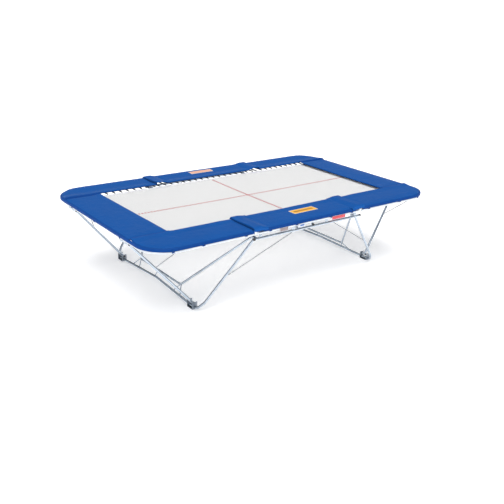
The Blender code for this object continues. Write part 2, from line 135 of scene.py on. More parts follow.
# Struts
STRUT_R = 0.020
STRUT_FOOT = Vector((1.70, 1.040, 0.082))
TEE_R = 0.017
TOP_TEE_RUN = (-0.026, 0.215)
FOOT_TEE_Y = (0.980, 1.064)
HANGER_RUN = (0.050, 0.165)
HANGER_PLATE = (0.020, 0.034, 0.003)
COLLAR_GAP = 0.0015
COLLAR_T = 0.009
COLLAR_HALF_W = 0.004

# Springs, chains and the bed
SPRING_PITCH = 0.119
END_SPRING_PITCH = 0.093
SPRING_MARGIN = 0.030
COIL_R = 0.0108
WIRE_R = 0.0018
LINK_PITCH = 0.027
LINK_R = 0.0031
LINK_HALF_W = 0.0055
COIL_PITCH = 0.0085
COIL_RIDGE = 0.0011
COIL_SPAN = (0.12, 0.86)
HOOK_R = 0.006
HOOK_GAP = 0.004
BED_SAG = 0.010
HEM_WIDTH = 0.045
HEM_T = 0.004
CLOTH_LIFT = 0.001
CLOTH_T = 0.0025
LINE_T = 0.0015
LINE_W = 0.034
LINE_PITCH = 0.050
LONG_LINE_SHARE = 0.56
SHORT_LINE_SHARE = 0.66

# Pads
CORNER_R = 0.40
MIDDLE_PAD_HALF = 0.865
FLAP_START = 0.785
FLAP_END = 1.046
FLAP_RISE = {"near": (0.018, 0.029), "far": (0.038, 0.028)}
FLAP_FALL = 0.018
FLAP_T = (0.002, 0.018)
FLAP_RIPPLE = 0.0025
FLAP_DROOP = 0.007
FLAP_ROLL = 0.006
END_PAD_EDGE = (0.010, 0.008)
SIDE_PAD_EDGE = (0.010, 0.009, 0.017)
PAD_CROWN = 0.0035
PAD_TURN_DOWN = 0.006
FAR_LIFT = (0.014, 0.005)
FAR_BULGE = 0.008
WAVE = (0.0016, 0.0022)
VOXEL = 0.016
SWELL = 0.004
SWELL_CAP = 0.007
SWELL_FRAMES = 20
COVER_CLOTH = {
    "quality": 4,
    "mass": 0.4,
    "tension_stiffness": 20,
    "compression_stiffness": 20,
    "bending_stiffness": 0.6,
    "use_pressure": True,
    "uniform_pressure_force": 4.0,
    "shrink_min": -0.012,
}
ALL_AXES = ("use_axis_x", "use_axis_y", "use_axis_z")
SKIRT_PROFILE = ((-0.013, 0.027), (-0.005, 0.025), (0.0006, 0.016), (0.0016, -0.004), (0.001, -0.016))
TAB_PROFILE = ((0.0, 0.004), (0.004, -0.006), (0.004, -0.020), (0.001, -0.030), (-0.006, -0.036))
LAP_PROFILE = (
    (0.024, 1.0, 0.0012),
    (0.012, 1.0, 0.0022),
    (0.003, 1.0, 0.0010),
    (-0.004, 0.6, 0.0),
    (-0.009, 0.0, 0.0050),
    (-0.018, 0.0, 0.0022),
    (-0.028, 0.0, 0.0012),
)
LAP_T = 0.0022
TAB_HALF_W = 0.019
TAB_T = 0.0028
INNER_ROLL = 0.17
STITCH_PITCH = 0.0125
STITCH_INSET = 0.020
WELT_R = 0.0032
EDGE_TABS = [(0.04, "x"), (-0.72, "x"), (0.78, "x")]
PATCH_T = 0.0009
NEAR_PATCH = ((-0.125, -1.285), (0.325, -1.135))
FAR_PATCH = ((-0.22, 1.300), (0.22, 1.415))

# Camera, floor and light
CAMERA_ANGLES = (37.96, 21.263, 2.109)
CAMERA_LENS = 48.06
CAMERA_PLACE = (-6.231, -8.149, 4.120)
FLOOR_HALF = 900.0
SKY_LEVELS = ((0.0, 1.0), (0.06, 0.85), (0.17, 0.40), (0.42, 0.19), (0.64, 0.19), (1.0, 1.10))


# ---------------------------------------------------------------- shape builder
def circle(centre, side, up, radius, count):
    """Points round a centre, in the plane of two directions."""
    turns = [2 * math.pi * k / count for k in range(count)]
    return [centre + (side * math.cos(t) + up * math.sin(t)) * radius for t in turns]


class Shape:
    """Collects the geometry of one piece."""

    def __init__(self):
        self.bm = bmesh.new()

    def ring(self, centre, side, up, radius, sides):
        return [self.bm.verts.new(point) for point in circle(centre, side, up, radius, sides)]

    def sweep(self, path, radius, sides=20, closed=False, turn=None):
        """A round bar along a path; the radius is one value or one for each point."""
        path = [Vector(point) for point in path]
        radii = radius if hasattr(radius, "__len__") else [radius] * len(path)
        last = len(path) - 1
        side = turn
        rings = []
        for i, point in enumerate(path):
            before = path[i - 1] if i or closed else point
            after = path[(i + 1) % len(path)] if i < last or closed else point
            run = (after - before).normalized()
            if side is None:
                side = run.orthogonal()
            side = (side - run * side.dot(run)).normalized()
            rings.append(self.ring(point, side, run.cross(side), radii[i], sides))
        pairs = list(zip(rings, rings[1:]))
        if closed:
            pairs.append((rings[-1], rings[0]))
        for a, b in pairs:
            for k in range(sides):
                n = (k + 1) % sides
                self.bm.faces.new((a[k], a[n], b[n], b[k]))
        if not closed:
            self.bm.faces.new(rings[0][::-1])
            self.bm.faces.new(rings[-1])

    def bar(self, start, end, radius, sides=20, chamfer=0.0015):
        """A straight round bar with a small chamfer at each end."""
        start, end = Vector(start), Vector(end)
        step = (end - start).normalized() * chamfer
        path = [start, start + step, end - step, end]
        self.sweep(path, [radius - chamfer, radius, radius, radius - chamfer], sides)

    def block(self, low, high, bevel=0.0012, segments=2):
        """A box between two corners, given in either order, with rounded edges."""
        low, high = [[f(a, b) for a, b in zip(low, high)] for f in (min, max)]
        size = Vector(high) - Vector(low)
        place = Matrix.Translation((Vector(high) + Vector(low)) / 2) @ Matrix.Diagonal((*size, 1))
        made = bmesh.ops.create_cube(self.bm, size=1.0, matrix=place)["verts"]
        edges = list(dict.fromkeys(edge for vert in made for edge in vert.link_edges))
        how = {"offset": bevel, "segments": segments, "profile": 0.5, "affect": "EDGES"}
        bmesh.ops.bevel(self.bm, geom=edges, **how)

    def slab(self, outline, thickness):
        """A flat outline given a thickness along a vector."""
        base = self.bm.faces.new([self.bm.verts.new(point) for point in outline])
        made = bmesh.ops.extrude_face_region(self.bm, geom=[base])["geom"]
        raised = [item for item in made if isinstance(item, bmesh.types.BMVert)]
        bmesh.ops.translate(self.bm, verts=raised, vec=thickness)

    def grid(self, rows, closed=False):
        """Quads through equal rows of points."""
        made = [[self.bm.verts.new(point) for point in row] for row in rows]
        for a, b in zip(made, made[1:]):
            for k in range(len(a) if closed else len(a) - 1):
                n = (k + 1) % len(a)
                self.bm.faces.new((a[k], a[n], b[n], b[k]))
        return made

    def shell(self, rows):
        """Closed rings joined by quads, with a face over each end."""
        made = self.grid(rows, closed=True)
        self.bm.faces.new(made[0])
        self.bm.faces.new(made[-1])

    def leaf(self, top_rows, low_rows):
        """Two layers of points joined round their rim."""
        top, low = self.grid(top_rows), self.grid(low_rows)
        last, end = len(top) - 1, len(top[0]) - 1
        rim = [(i, 0) for i in range(last)] + [(last, k) for k in range(end)]
        rim += [(i, end) for i in range(last, 0, -1)] + [(0, k) for k in range(end, 0, -1)]
        for (i, k), (m, n) in zip(rim, rim[1:] + rim[:1]):
            self.bm.faces.new((top[i][k], top[m][n], low[m][n], low[i][k]))

    def weld(self, centre, run, radius, bead=0.0028):
        """An uneven bead of weld round a tube."""
        run = Vector(run).normalized()
        side = run.orthogonal().normalized()
        path = circle(Vector(centre), side, run.cross(side), radius, WELD_POINTS)
        radii = [bead * (1 + 0.16 * math.sin(k * 2.3)) for k in range(WELD_POINTS)]
        self.sweep(path, radii, 6, closed=True)

    def mesh(self, name, smooth=40):
        bmesh.ops.recalc_face_normals(self.bm, faces=self.bm.faces)
        mesh = bpy.data.meshes.new(name)
        self.bm.to_mesh(mesh)
        self.bm.free()
        mesh.shade_smooth()
        mesh.set_sharp_from_angle(angle=math.radians(smooth))
        return mesh


def new_object(name, data):
    obj = bpy.data.objects.new(name, data)
    bpy.context.scene.collection.objects.link(obj)
    return obj


def piece(name, source, finish, body=None, replaces=(), smooth=40):
    """Link a shape, or a ready mesh, as a visible piece on a body."""
    mesh = source.mesh(name, smooth) if isinstance(source, Shape) else source
    obj = new_object(name, mesh)
    mesh.materials.clear()
    mesh.materials.append(finish)
    if body:
        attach(obj, body)
    if replaces:
        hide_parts(*replaces)
    return obj


def arc(centre, radius, start, stop, steps):
    """Points along a circle in plan, from one angle to another in degrees."""
    turns = [math.radians(start + (stop - start) * i / steps) for i in range(steps + 1)]
    return [(centre[0] + radius * math.cos(t), centre[1] + radius * math.sin(t)) for t in turns]


def rounded(points, radius, steps=8):
    """A path whose inner corners are arcs."""
    path = [Vector(points[0])]
    for before, corner, after in zip(points, points[1:], points[2:]):
        corner = Vector(corner)
        back = (Vector(before) - corner).normalized()
        ahead = (Vector(after) - corner).normalized()
        half = back.angle(ahead) / 2
        reach = radius / math.tan(half)
        centre = corner + (back + ahead).normalized() * (radius / math.sin(half))
        first = corner + back * reach - centre
        last = corner + ahead * reach - centre
        turn = first.angle(last)
        for i in range(steps + 1):
            share = math.sin(turn * (1 - i / steps)) / math.sin(turn)
            rest = math.sin(turn * i / steps) / math.sin(turn)
            path.append(centre + first * share + last * rest)
    path.append(Vector(points[-1]))
    return path


def ease(value):
    """A smooth step from 0 to 1, for numbers or arrays."""
    value = np.clip(value, 0.0, 1.0)
    return value * value * (3 - 2 * value)


def row_places(low, high, pitch):
    """Evenly spaced places, centred between two limits."""
    count = int((high - low) / pitch) + 1
    first = (low + high) / 2 - pitch * (count - 1) / 2
    return [first + pitch * i for i in range(count)]


# ---------------------------------------------------------------- materials
class Finish:
    """A procedural material on one Principled shader."""

    def __init__(self, name, **settings):
        self.material = bpy.data.materials.new(name)
        self.material.use_nodes = True
        self.tree = self.material.node_tree
        self.shader = self.tree.nodes["Principled BSDF"]
        for key, value in settings.items():
            self.shader.inputs[key.replace("_", " ")].default_value = value
        self.spot = self.node("TexCoord").outputs["Object"]

    def node(self, kind, inputs=None, **settings):
        made = self.tree.nodes.new("ShaderNode" + kind)
        for key, value in settings.items():
            setattr(made, key, value)
        for key, value in (inputs or {}).items():
            if isinstance(value, bpy.types.NodeSocket):
                self.tree.links.new(value, made.inputs[key])
            else:
                made.inputs[key].default_value = value
        return made

    def link(self, name, value):
        self.tree.links.new(value, self.shader.inputs[name])

    def noise(self, scale, detail=3.0, spot=None, rough=0.55):
        inputs = {"Vector": spot or self.spot, "Scale": scale, "Detail": detail, "Roughness": rough}
        return self.node("TexNoise", inputs).outputs["Fac"]

    def scaled(self, x, y, z, spot=None):
        inputs = {"Vector": spot or self.spot, "Scale": (x, y, z)}
        return self.node("Mapping", inputs).outputs["Vector"]

    def spread(self, value, low, high, start=0.3, stop=0.7):
        inputs = {"Value": value, "From Min": start, "From Max": stop, "To Min": low, "To Max": high}
        return self.node("MapRange", inputs).outputs["Result"]

    def maths(self, operation, a, b=0.0):
        return self.node("Math", {0: a, 1: b}, operation=operation).outputs[0]

    def times(self, a, b):
        return self.maths("MULTIPLY", a, b)

    def mix(self, factor, a, b):
        colours = [(*c, 1.0) if isinstance(c, tuple) else c for c in (a, b)]
        inputs = {0: factor, 6: colours[0], 7: colours[1]}
        return self.node("Mix", inputs, data_type="RGBA").outputs[2]

    def bump(self, height, distance, under=None):
        inputs = {"Height": height, "Distance": distance, "Strength": 1.0}
        if under:
            inputs["Normal"] = under
        return self.node("Bump", inputs).outputs["Normal"]

    def edges(self):
        """How sharply the surface turns outwards: worn corners and rims."""
        point = self.node("NewGeometry").outputs["Pointiness"]
        return self.spread(point, 0.0, 1.0, 0.52, 0.60)


def tint(colour, factor):
    return tuple(min(1.0, part * factor) for part in colour)


def metal(name, dark, light, roughness, metallic=1.0):
    """Plated steel: a faint spangle, drawn lines, duller patches and worn edges."""
    f = Finish(name, Metallic=metallic)
    patches = f.noise(7.0, 4.0)
    spangle = f.noise(160.0, 2.0)
    scuffs = f.noise(1.0, 5.0, f.scaled(24.0, 24.0, 260.0))
    colour = f.mix(f.spread(patches, 0.0, 1.0), dark, light)
    colour = f.mix(f.spread(spangle, 0.0, 0.22), colour, tint(light, 1.25))
    colour = f.mix(f.times(f.edges(), 0.5), colour, tint(light, 1.3))
    f.link("Base Color", colour)
    rough = f.maths("ADD", f.spread(patches, roughness, roughness + 0.10), f.spread(spangle, 0.0, 0.05))
    f.link("Roughness", rough)
    grain = f.bump(scuffs, 0.00012)
    f.link("Normal", f.bump(spangle, 0.00008, grain))
    return f.material


def vinyl(name, base, pale, roughness=0.40):
    """Coated woven-backed cover: fine grain, soft unevenness, dust, rubbed edges and painted shade on the
    upright side walls.
    """
    f = Finish(name, Specular_IOR_Level=0.06)
    cloudy = f.noise(3.1, 4.0)
    streaks = f.noise(1.0, 3.0, f.scaled(2.2, 16.0, 8.0))
    grain = f.node("TexVoronoi", {"Vector": f.spot, "Scale": 620.0}).outputs["Distance"]
    bands = {"Vector": f.spot, "Scale": 95.0}
    across, along = (f.node("TexWave", bands, bands_direction=axis).outputs["Fac"] for axis in "XY")
    edge, wall_shade = (f.node("Attribute", attribute_name=name).outputs["Fac"] for name in ("edge", "wall_shade"))
    colour = f.mix(f.spread(cloudy, 0.0, 0.5), base, pale)
    colour = f.mix(f.spread(streaks, 0.0, 0.22), colour, pale)
    colour = f.mix(f.times(edge, 0.35), colour, tint(base, 0.62))
    # Upright side walls are painted much darker: painted shade.
    colour = f.mix(f.times(wall_shade, 0.85), colour, tint(base, 0.36))
    colour = f.mix(f.times(f.edges(), 0.25), colour, tint(pale, 1.6))
    f.link("Base Color", colour)
    f.link("Roughness", f.spread(cloudy, roughness, roughness + 0.12))
    weave = f.bump(f.times(across, along), 0.00010)
    skin = f.bump(grain, 0.00016, weave)
    f.link("Normal", f.bump(f.noise(11.0, 2.0), 0.004, skin))
    return f.material


def webbing(name, light, shade, pitch, alpha=1.0):
    """Woven straps: each one passes over and under, with fine threads along it; the low parts between the
    straps are painted darker as painted shade.
    """
    f = Finish(name, Roughness=0.72, Alpha=alpha, Sheen_Weight=0.15, Sheen_Roughness=0.5)
    flat = f.node("UVMap", uv_map="cloth").outputs["UV"]
    cells = f.scaled(1 / pitch, 1 / pitch, 1.0, flat)
    parts = f.node("SeparateXYZ", {0: cells})
    crowns = []
    for axis in (0, 1):
        centred = f.maths("SUBTRACT", f.maths("FRACT", parts.outputs[axis]), 0.5)
        crowns.append(f.maths("SUBTRACT", 0.25, f.times(centred, centred)))
    over = f.node("TexChecker", {"Vector": cells, "Scale": 1.0}).outputs["Fac"]
    warp = f.times(over, crowns[0])
    weft = f.times(f.maths("SUBTRACT", 1.0, over), crowns[1])
    height = f.times(f.maths("ADD", warp, weft), 4.0)
    threads = f.node("TexWave", {"Vector": flat, "Scale": 160.0}, bands_direction="DIAGONAL")
    cloudy = f.noise(4.0, 4.0, flat)
    # Colour by weave height: the low parts between the straps are painted darker, as painted shade.
    colour = f.mix(f.spread(height, 0.0, 1.0, 0.05, 0.45), shade, light)
    colour = f.mix(f.spread(cloudy, 0.0, 0.25), colour, tint(light, 0.92))
    f.link("Base Color", colour)
    thread_bump = f.bump(threads.outputs["Fac"], 0.00015)
    f.link("Normal", f.bump(height, 0.0012, thread_bump))
    return f.material


def plastic(name, base, roughness=0.42, grain=0.00012, sheen=1.6):
    """Moulded plastic or printed plate: fine texture, handling marks and rubbed edges."""
    f = Finish(name, Specular_IOR_Level=0.45)
    marks = f.noise(60.0, 4.0)
    rubbed = tuple(min(1.0, c * sheen + 0.02) for c in base)
    colour = f.mix(f.spread(marks, 0.0, 0.35), base, rubbed)
    colour = f.mix(f.times(f.edges(), 0.5), colour, rubbed)
    f.link("Base Color", colour)
    f.link("Roughness", f.spread(marks, roughness, roughness + 0.16))
    f.link("Normal", f.bump(f.noise(900.0, 2.0), grain))
    return f.material


STEEL = metal("zinc_plated_tube", (0.33, 0.38, 0.44), (0.52, 0.58, 0.65), 0.17)
RAIL_STEEL = metal("bright_rail", (0.56, 0.60, 0.65), (0.70, 0.74, 0.79), 0.26, 0.80)
BRIGHT_STEEL = metal("bright_plated", (0.26, 0.27, 0.29), (0.42, 0.43, 0.45), 0.22)
DULL_PLATE = metal("dull_plate", (0.17, 0.19, 0.22), (0.29, 0.32, 0.36), 0.26)
# The springs are painted far darker than plated steel: painted shade from the pads over them.
SHADED_SPRING_STEEL = metal("coil_spring_painted_shade", (0.035, 0.040, 0.055), (0.10, 0.11, 0.13), 0.40)
VINYL = vinyl("blue_vinyl_cover", (0.006, 0.080, 0.318), (0.012, 0.096, 0.358))
# A darker copy of the cover vinyl for hems, welts, laps and tabs: painted shade on the pads' rims, seams and
# undersides.
EDGE_SHADE_VINYL = vinyl("blue_vinyl_painted_shade", (0.004, 0.050, 0.235), (0.008, 0.066, 0.285), 0.46)
THREAD = plastic("blue_thread", (0.020, 0.085, 0.300), 0.60)
WEBBING = webbing("white_webbing_cloth", (0.86, 0.86, 0.855), (0.66, 0.66, 0.66), 0.013, 0.82)
HEM = webbing("white_hem_tape", (0.93, 0.93, 0.93), (0.74, 0.74, 0.74), 0.004)
RED_TAPE = webbing("red_line_tape", (0.56, 0.14, 0.15), (0.38, 0.09, 0.10), 0.005)
BLACK = plastic("black_moulding", (0.012, 0.012, 0.014), 0.38)
GREY_PLATE = plastic("grey_print", (0.34, 0.27, 0.27), 0.34, 0.00004, 1.15)
WHITE_PLATE = plastic("white_print", (0.70, 0.75, 0.84), 0.30, 0.00004, 1.08)
RED_PLATE = plastic("red_print", (0.74, 0.075, 0.095), 0.30, 0.00004, 1.12)
BLUE_PLATE = plastic("blue_print", (0.05, 0.16, 0.50), 0.30, 0.00004, 1.12)
YELLOW_PATCH = plastic("yellow_patch", (0.90, 0.46, 0.045), 0.44, 0.0001, 1.05)
AMBER_PATCH = plastic("amber_patch", (0.42, 0.19, 0.035), 0.44, 0.0001, 1.08)
PALE_PATCH = plastic("pale_patch", (0.82, 0.74, 0.60), 0.44, 0.0001, 1.06)
FADED_PATCH = plastic("faded_patch", (0.78, 0.42, 0.30), 0.46, 0.0001, 1.08)


# ---------------------------------------------------------------- frame tubes
def add_lug(shape, side, row, inward, lug_y):
    """A hinge lug that rises from a rail's end to the fold axis."""
    x = (-0.060, 0.008, 0.012, -0.012, -0.014, -0.060)
    z = (RAIL_Z - 0.010, RAIL_Z - 0.010, HINGE_Z, HINGE_Z, RAIL_Z + RAIL_R, RAIL_Z + 0.018)
    low = row * lug_y - LUG_T / 2
    shape.slab([(side * (HINGE_X + inward * u), low, v) for u, v in zip(x, z)], (0, LUG_T, 0))
    ends = ((side * HINGE_X, low, HINGE_Z), (side * HINGE_X, low + LUG_T, HINGE_Z))
    shape.bar(*ends, EYE_R, 24)
    shape.weld((side * (HINGE_X - inward * 0.045), row * RAIL_Y, RAIL_Z), (1, 0, 0), RAIL_R)


def build_main_rail(name, row):
    shape = Shape()
    y = row * RAIL_Y
    shape.bar((-RAIL_END, y, RAIL_Z), (RAIL_END, y, RAIL_Z), RAIL_R, 28, 0.002)
    for side in SIDES.values():
        add_lug(shape, side, row, 1, CENTRE_LUG_Y)
    for x in SPACER_X:
        shape.weld((x, y, RAIL_Z - RAIL_R), (0, 0, 1), 0.012, 0.002)
    piece(f"rail_{name}", shape, RAIL_STEEL, "centre_section", [f"main_rail_{name}"])


def build_lower_rail(name, row):
    """The lower rail with its welded spacers, bolts and the two leg pivot studs."""
    shape = Shape()
    y = row * RAIL_Y
    shape.bar((-LOWER_HALF, y, LOWER_Z), (LOWER_HALF, y, LOWER_Z), LOWER_R, 24)
    top = RAIL_Z - RAIL_R - 0.0005
    for x in SPACER_X:
        low = (x - SPACER_HALF_W, y - SPACER_HALF_T, LOWER_Z)
        shape.block(low, (x + SPACER_HALF_W, y + SPACER_HALF_T, top), 0.0015)
        shape.weld((x, y, LOWER_Z + LOWER_R - 0.001), (0, 0, 1), 0.013, 0.002)
        bolt = [(x, y + row * (SPACER_HALF_T + out), LOWER_Z + BOLT_RISE) for out in (0, BOLT_HEAD_T)]
        shape.bar(*bolt, BOLT_HEAD_R, 6, 0.001)
    for side in SIDES.values():
        x = side * PIVOT_X
        shape.bar((x, row * STUD_Y[0], PIVOT_Z), (x, row * STUD_Y[1], PIVOT_Z), STUD_R, 20)
        head = [(x, row * (STUD_Y[0] + out), PIVOT_Z) for out in (0, STUD_HEAD)]
        shape.bar(*head, STUD_R + STUD_HEAD, 6, 0.001)
        washer = [(x, row * y, PIVOT_Z) for y in WASHER_Y]
        shape.bar(*washer, STUD_R + 0.009, 24, 0.001)
        shape.weld((x, row * (RAIL_Y - LOWER_R), PIVOT_Z), (0, 1, 0), STUD_R, 0.003)
    nodes = [f"lower_rail_{name}"]
    piece(f"lower_tube_{name}", shape, STEEL, "centre_section", nodes)


def build_end_frame(side_name, side):
    """The U-shaped tube of an end section, with hinge lugs and strut hangers."""
    shape = Shape()
    start = HINGE_X + 0.025
    centre = (END_RAIL_X - FRAME_CORNER_R, RAIL_Y - FRAME_CORNER_R)
    half = [(start, RAIL_Y)] + arc(centre, FRAME_CORNER_R, 90, 0, 18)
    loop = half + [(x, -y) for x, y in reversed(half)]
    shape.sweep([(side * x, y, RAIL_Z) for x, y in loop], RAIL_R, 28)
    for row in ROWS.values():
        add_lug(shape, side, row, -1, END_LUG_Y)
        for x in (1.30, 2.10):
            shape.weld((side * x, row * RAIL_Y, RAIL_Z), (1, 0, 0), RAIL_R, 0.0018)
        for offset in HANGER_RUN:
            add_hanger(shape, side, row * STRUT_TOP.y + offset)
    node = f"end_frame_{side_name}"
    piece(f"end_tube_{side_name}", shape, RAIL_STEEL, f"{side_name}_end", [node])


def add_hanger(shape, side, y):
    """A plate under the end rail with a collar that holds a strut's top cross tube."""
    x, z = STRUT_TOP.x, STRUT_TOP.z
    near, far, half = HANGER_PLATE
    low = (side * (x + near), y - half, z - near)
    shape.block(low, (side * (x + far), y + half, RAIL_Z - 0.008), 0.001)
    shape.weld((side * (x + 0.026), y, RAIL_Z - RAIL_R), (0, 0, 1), 0.008, 0.002)
    turns = [2 * math.pi * k / 24 for k in range(24)]
    inner, outer = TEE_R + COLLAR_GAP, TEE_R + COLLAR_T
    half = COLLAR_HALF_W
    rows = []
    for radius, offset in ((inner, -half), (outer, -half), (outer, half), (inner, half)):
        points = [(side * x + radius * math.cos(t), y + offset, z + radius * math.sin(t)) for t in turns]
        rows.append(points)
    shape.grid(rows + rows[:1], closed=True)
    bmesh.ops.remove_doubles(shape.bm, verts=shape.bm.verts, dist=0.00001)


# ---------------------------------------------------------------- leg frames
def leg_point(side, s, y):
    """A place in a leg frame's plane, s along it from the pivot."""
    run = Vector((FOOT_X - PIVOT_X, 0.0, FOOT_Z - PIVOT_Z)).normalized()
    return Vector((side * (PIVOT_X + run.x * s), y, PIVOT_Z + run.z * s))


LEG_LENGTH = math.hypot(FOOT_X - PIVOT_X, FOOT_Z - PIVOT_Z)


def bar_s(y):
    """How far down the plane the outer bar's middle line is at a width."""
    return LEG_LENGTH - KINK_RISE * max(0.0, 1.0 - abs(y) / FOOT_Y[0])


def add_eye(shape, side, row, ends, arm, radius):
    """The cross tube at the top of a leg arm, with its bush and weld."""
    x = side * PIVOT_X
    shape.bar((x, row * ends[0], PIVOT_Z), (x, row * ends[1], PIVOT_Z), LEG_EYE_R, 24, 0.002)
    run = leg_point(side, 1.0, arm[1]) - leg_point(side, 0.0, arm[0])
    centre = leg_point(side, 0.0, arm[0]) + run.normalized() * LEG_EYE_R
    shape.weld(centre, run, radius, 0.003)


def build_outer_leg(side_name, side):
    shape = Shape()
    low_s, low_y = OUTER_LOW
    half = [(0.0, OUTER_TOP_Y), (low_s, low_y)]
    half += [(LEG_LENGTH, OUTER_BAR_Y), (LEG_LENGTH, FOOT_Y[0])]
    plan = half + [(bar_s(0), 0.0)] + [(s, -y) for s, y in reversed(half)]
    shape.sweep(rounded([leg_point(side, s, y) for s, y in plan], LEG_BEND_R), OUTER_R, 24)
    for row in ROWS.values():
        arm = (row * OUTER_TOP_Y, row * (OUTER_TOP_Y + (low_y - OUTER_TOP_Y) / low_s))
        add_eye(shape, side, row, OUTER_EYE_Y, arm, OUTER_R)
    node = f"leg_outer_frame_{side_name}"
    piece(f"outer_leg_{side_name}", shape, STEEL, f"{side_name}_leg", [node])


def build_inner_leg(side_name, side):
    """The inner U with its thin braces, whose flattened feet meet the outer bar."""
    shape = Shape()
    half = [(0.0, INNER_TOP_Y), (INNER_BAR_S, INNER_LOW_Y)]
    plan = half + [(s, -y) for s, y in reversed(half)]
    shape.sweep(rounded([leg_point(side, s, y) for s, y in plan], LEG_BEND_R), INNER_R, 24)
    for row in ROWS.values():
        arm = (row * INNER_TOP_Y, row * (INNER_TOP_Y + (INNER_LOW_Y - INNER_TOP_Y) / INNER_BAR_S))
        add_eye(shape, side, row, INNER_EYE_Y, arm, INNER_R)
        for y in BRACE_FEET:
            top = leg_point(side, INNER_BAR_S - 0.012, row * (INNER_LOW_Y + 0.005))
            add_brace(shape, top, leg_point(side, bar_s(y) - OUTER_R, row * y))
    foot = leg_point(side, bar_s(POST_Y) - OUTER_R, POST_Y)
    add_brace(shape, leg_point(side, INNER_BAR_S, POST_Y), foot)
    node = f"leg_inner_frame_{side_name}"
    piece(f"inner_leg_{side_name}", shape, STEEL, f"{side_name}_leg", [node])


def add_brace(shape, top, foot):
    run = (foot - top).normalized()
    shape.bar(top, foot - run * 0.001, BRACE_R, 14, 0.001)
    shape.weld(foot - run * 0.003, run, BRACE_R, 0.0025)
    shape.weld(top + run * INNER_R, run, BRACE_R, 0.002)


def build_strut(side_name, side, row_name, row):
    """A strut with a cross tube and black end caps at each end."""
    top = Vector((side * STRUT_TOP.x, row * STRUT_TOP.y, STRUT_TOP.z))
    foot = Vector((side * STRUT_FOOT.x, row * STRUT_FOOT.y, STRUT_FOOT.z))
    run = (foot - top).normalized()
    shape = Shape()
    shape.bar(top, foot, STRUT_R, 24)
    caps = Shape()
    tees = (
        (top, [top.y + offset for offset in TOP_TEE_RUN], run),
        (foot, sorted(row * y for y in FOOT_TEE_Y), -run),
    )
    for place, ends, out in tees:
        bar = [Vector((place.x, y, place.z)) for y in ends]
        shape.bar(*bar, TEE_R, 24)
        shape.weld(place + out * (TEE_R + 0.002), out, STRUT_R, 0.003)
        for end, step in zip(bar, (-1, 1)):
            caps.bar(end + Vector((0, step * 0.0003, 0)), end + Vector((0, step * 0.009, 0)), TEE_R, 20)
    name = f"{side_name}_{row_name}"
    body = f"{name}_strut"
    piece(f"brace_tube_{name}", shape, STEEL, body, [f"strut_{name}"])
    piece(f"brace_caps_{name}", caps, BLACK, body)


def dress_cad_nodes():
    """Rounded edges and better materials for the nodes that stay."""
    kinds = {
        "foot_bracket": (DULL_PLATE, 0.0015),
        "hinge_pin": (BRIGHT_STEEL, 0.0008),
        "lower_rail_cap": (BLACK, 0.0008),
    }
    for name, node in frame["nodes"].items():
        for kind, (finish, bevel) in kinds.items():
            if name.startswith(kind):
                node.data.materials.clear()
                node.data.materials.append(finish)
                step = node.modifiers.new("rounded edges", "BEVEL")
                step.width = bevel
                step.segments = 2
                step.limit_method = "ANGLE"
                step.angle_limit = math.radians(50)


# ---------------------------------------------------------------- plates and knob
def build_plate(name, finish, border, stripe=None):
    """A printed plate with a raised frame and a plain band instead of lettering."""
    low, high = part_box(name)
    face = low.y
    shape = Shape()
    shape.block(low, high, 0.0006)
    body = "centre_section"
    piece(f"sign_{name[12:]}", shape, finish, body, [name])
    rim = Shape()
    width = 0.004
    proud = (face - 0.0012, face + 0.0004)
    for x in ((low.x, low.x + width), (high.x - width, high.x)):
        rim.block((x[0], proud[0], low.z), (x[1], proud[1], high.z), 0.0004)
    for z in ((low.z, low.z + width), (high.z - width, high.z)):
        rim.block((low.x + width, proud[0], z[0]), (high.x - width, proud[1], z[1]), 0.0004)
    piece(f"sign_rim_{name[12:]}", rim, border, body)
    if stripe:
        band = Shape()
        middle = (low.z + high.z) / 2
        x = (low.x + 0.30 * (high.x - low.x), low.x + 0.88 * (high.x - low.x))
        band.block((x[0], face - 0.0008, middle - 0.010), (x[1], face + 0.0002, middle + 0.010), 0.0003)
        piece(f"sign_band_{name[12:]}", band, stripe, body)


def build_knob():
    """A ribbed lock knob on a steel collar."""
    low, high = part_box("lock_knob")
    centre = (low + high) / 2
    radius = (high.x - low.x) / 2
    shape = Shape()
    profile = ((high.y, 0.62), (high.y - 0.006, 0.66), (high.y - 0.008, 0.96), (low.y + 0.003, 1.0))
    profile += ((low.y + 0.001, 0.94), (low.y, 0.80), (low.y + 0.002, 0.45), (low.y + 0.002, 0.1))
    rows = []
    for y, share in profile:
        points = []
        for k in range(KNOB_RIBS * 4):
            t = 2 * math.pi * k / (KNOB_RIBS * 4)
            r = radius * share * (1 - (0.06 if k % 4 in (2, 3) and share > 0.9 else 0.0))
            points.append((centre.x + r * math.cos(t), y, centre.z + r * math.sin(t)))
        rows.append(points)
    shape.shell(rows)
    piece("knob", shape, BLACK, "centre_section", ["lock_knob"], 30)


# ---------------------------------------------------------------- springs and chains
def add_spring(shape, start, end):
    """A coil spring between two hook points, with a ridge for every turn and a hook at each end."""
    start, end = Vector(start), Vector(end)
    run = (end - start).normalized()
    length = (end - start).length
    first, last = (start + run * length * share for share in COIL_SPAN)
    turns = int((last - first).length / COIL_PITCH)
    side = run.cross(Vector((0, 0, 1))).normalized()
    up = run.cross(side)
    sides = 8
    rings = []
    for i in range(turns * 2 + 1):
        centre = first.lerp(last, i / (turns * 2))
        ring = []
        for k in range(sides):
            t = 2 * math.pi * k / sides
            ridge = math.cos(math.pi * i - t)
            taper = 1.0 - 0.45 * (i in (0, turns * 2))
            radius = (COIL_R + COIL_RIDGE * ridge) * taper
            ring.append(centre + (side * math.cos(t) + up * math.sin(t)) * radius)
        rings.append(ring)
    shape.shell(rings)
    for tip, root, turn in ((start, first, -run), (end, last, run)):
        bend = [root, root + (tip - root) * 0.45]
        for k in range(7):
            t = math.pi * k / 6
            bend.append(tip + turn * (HOOK_R * math.sin(t)) + up * (HOOK_R * math.cos(t)))
        shape.sweep(bend, WIRE_R, 6)


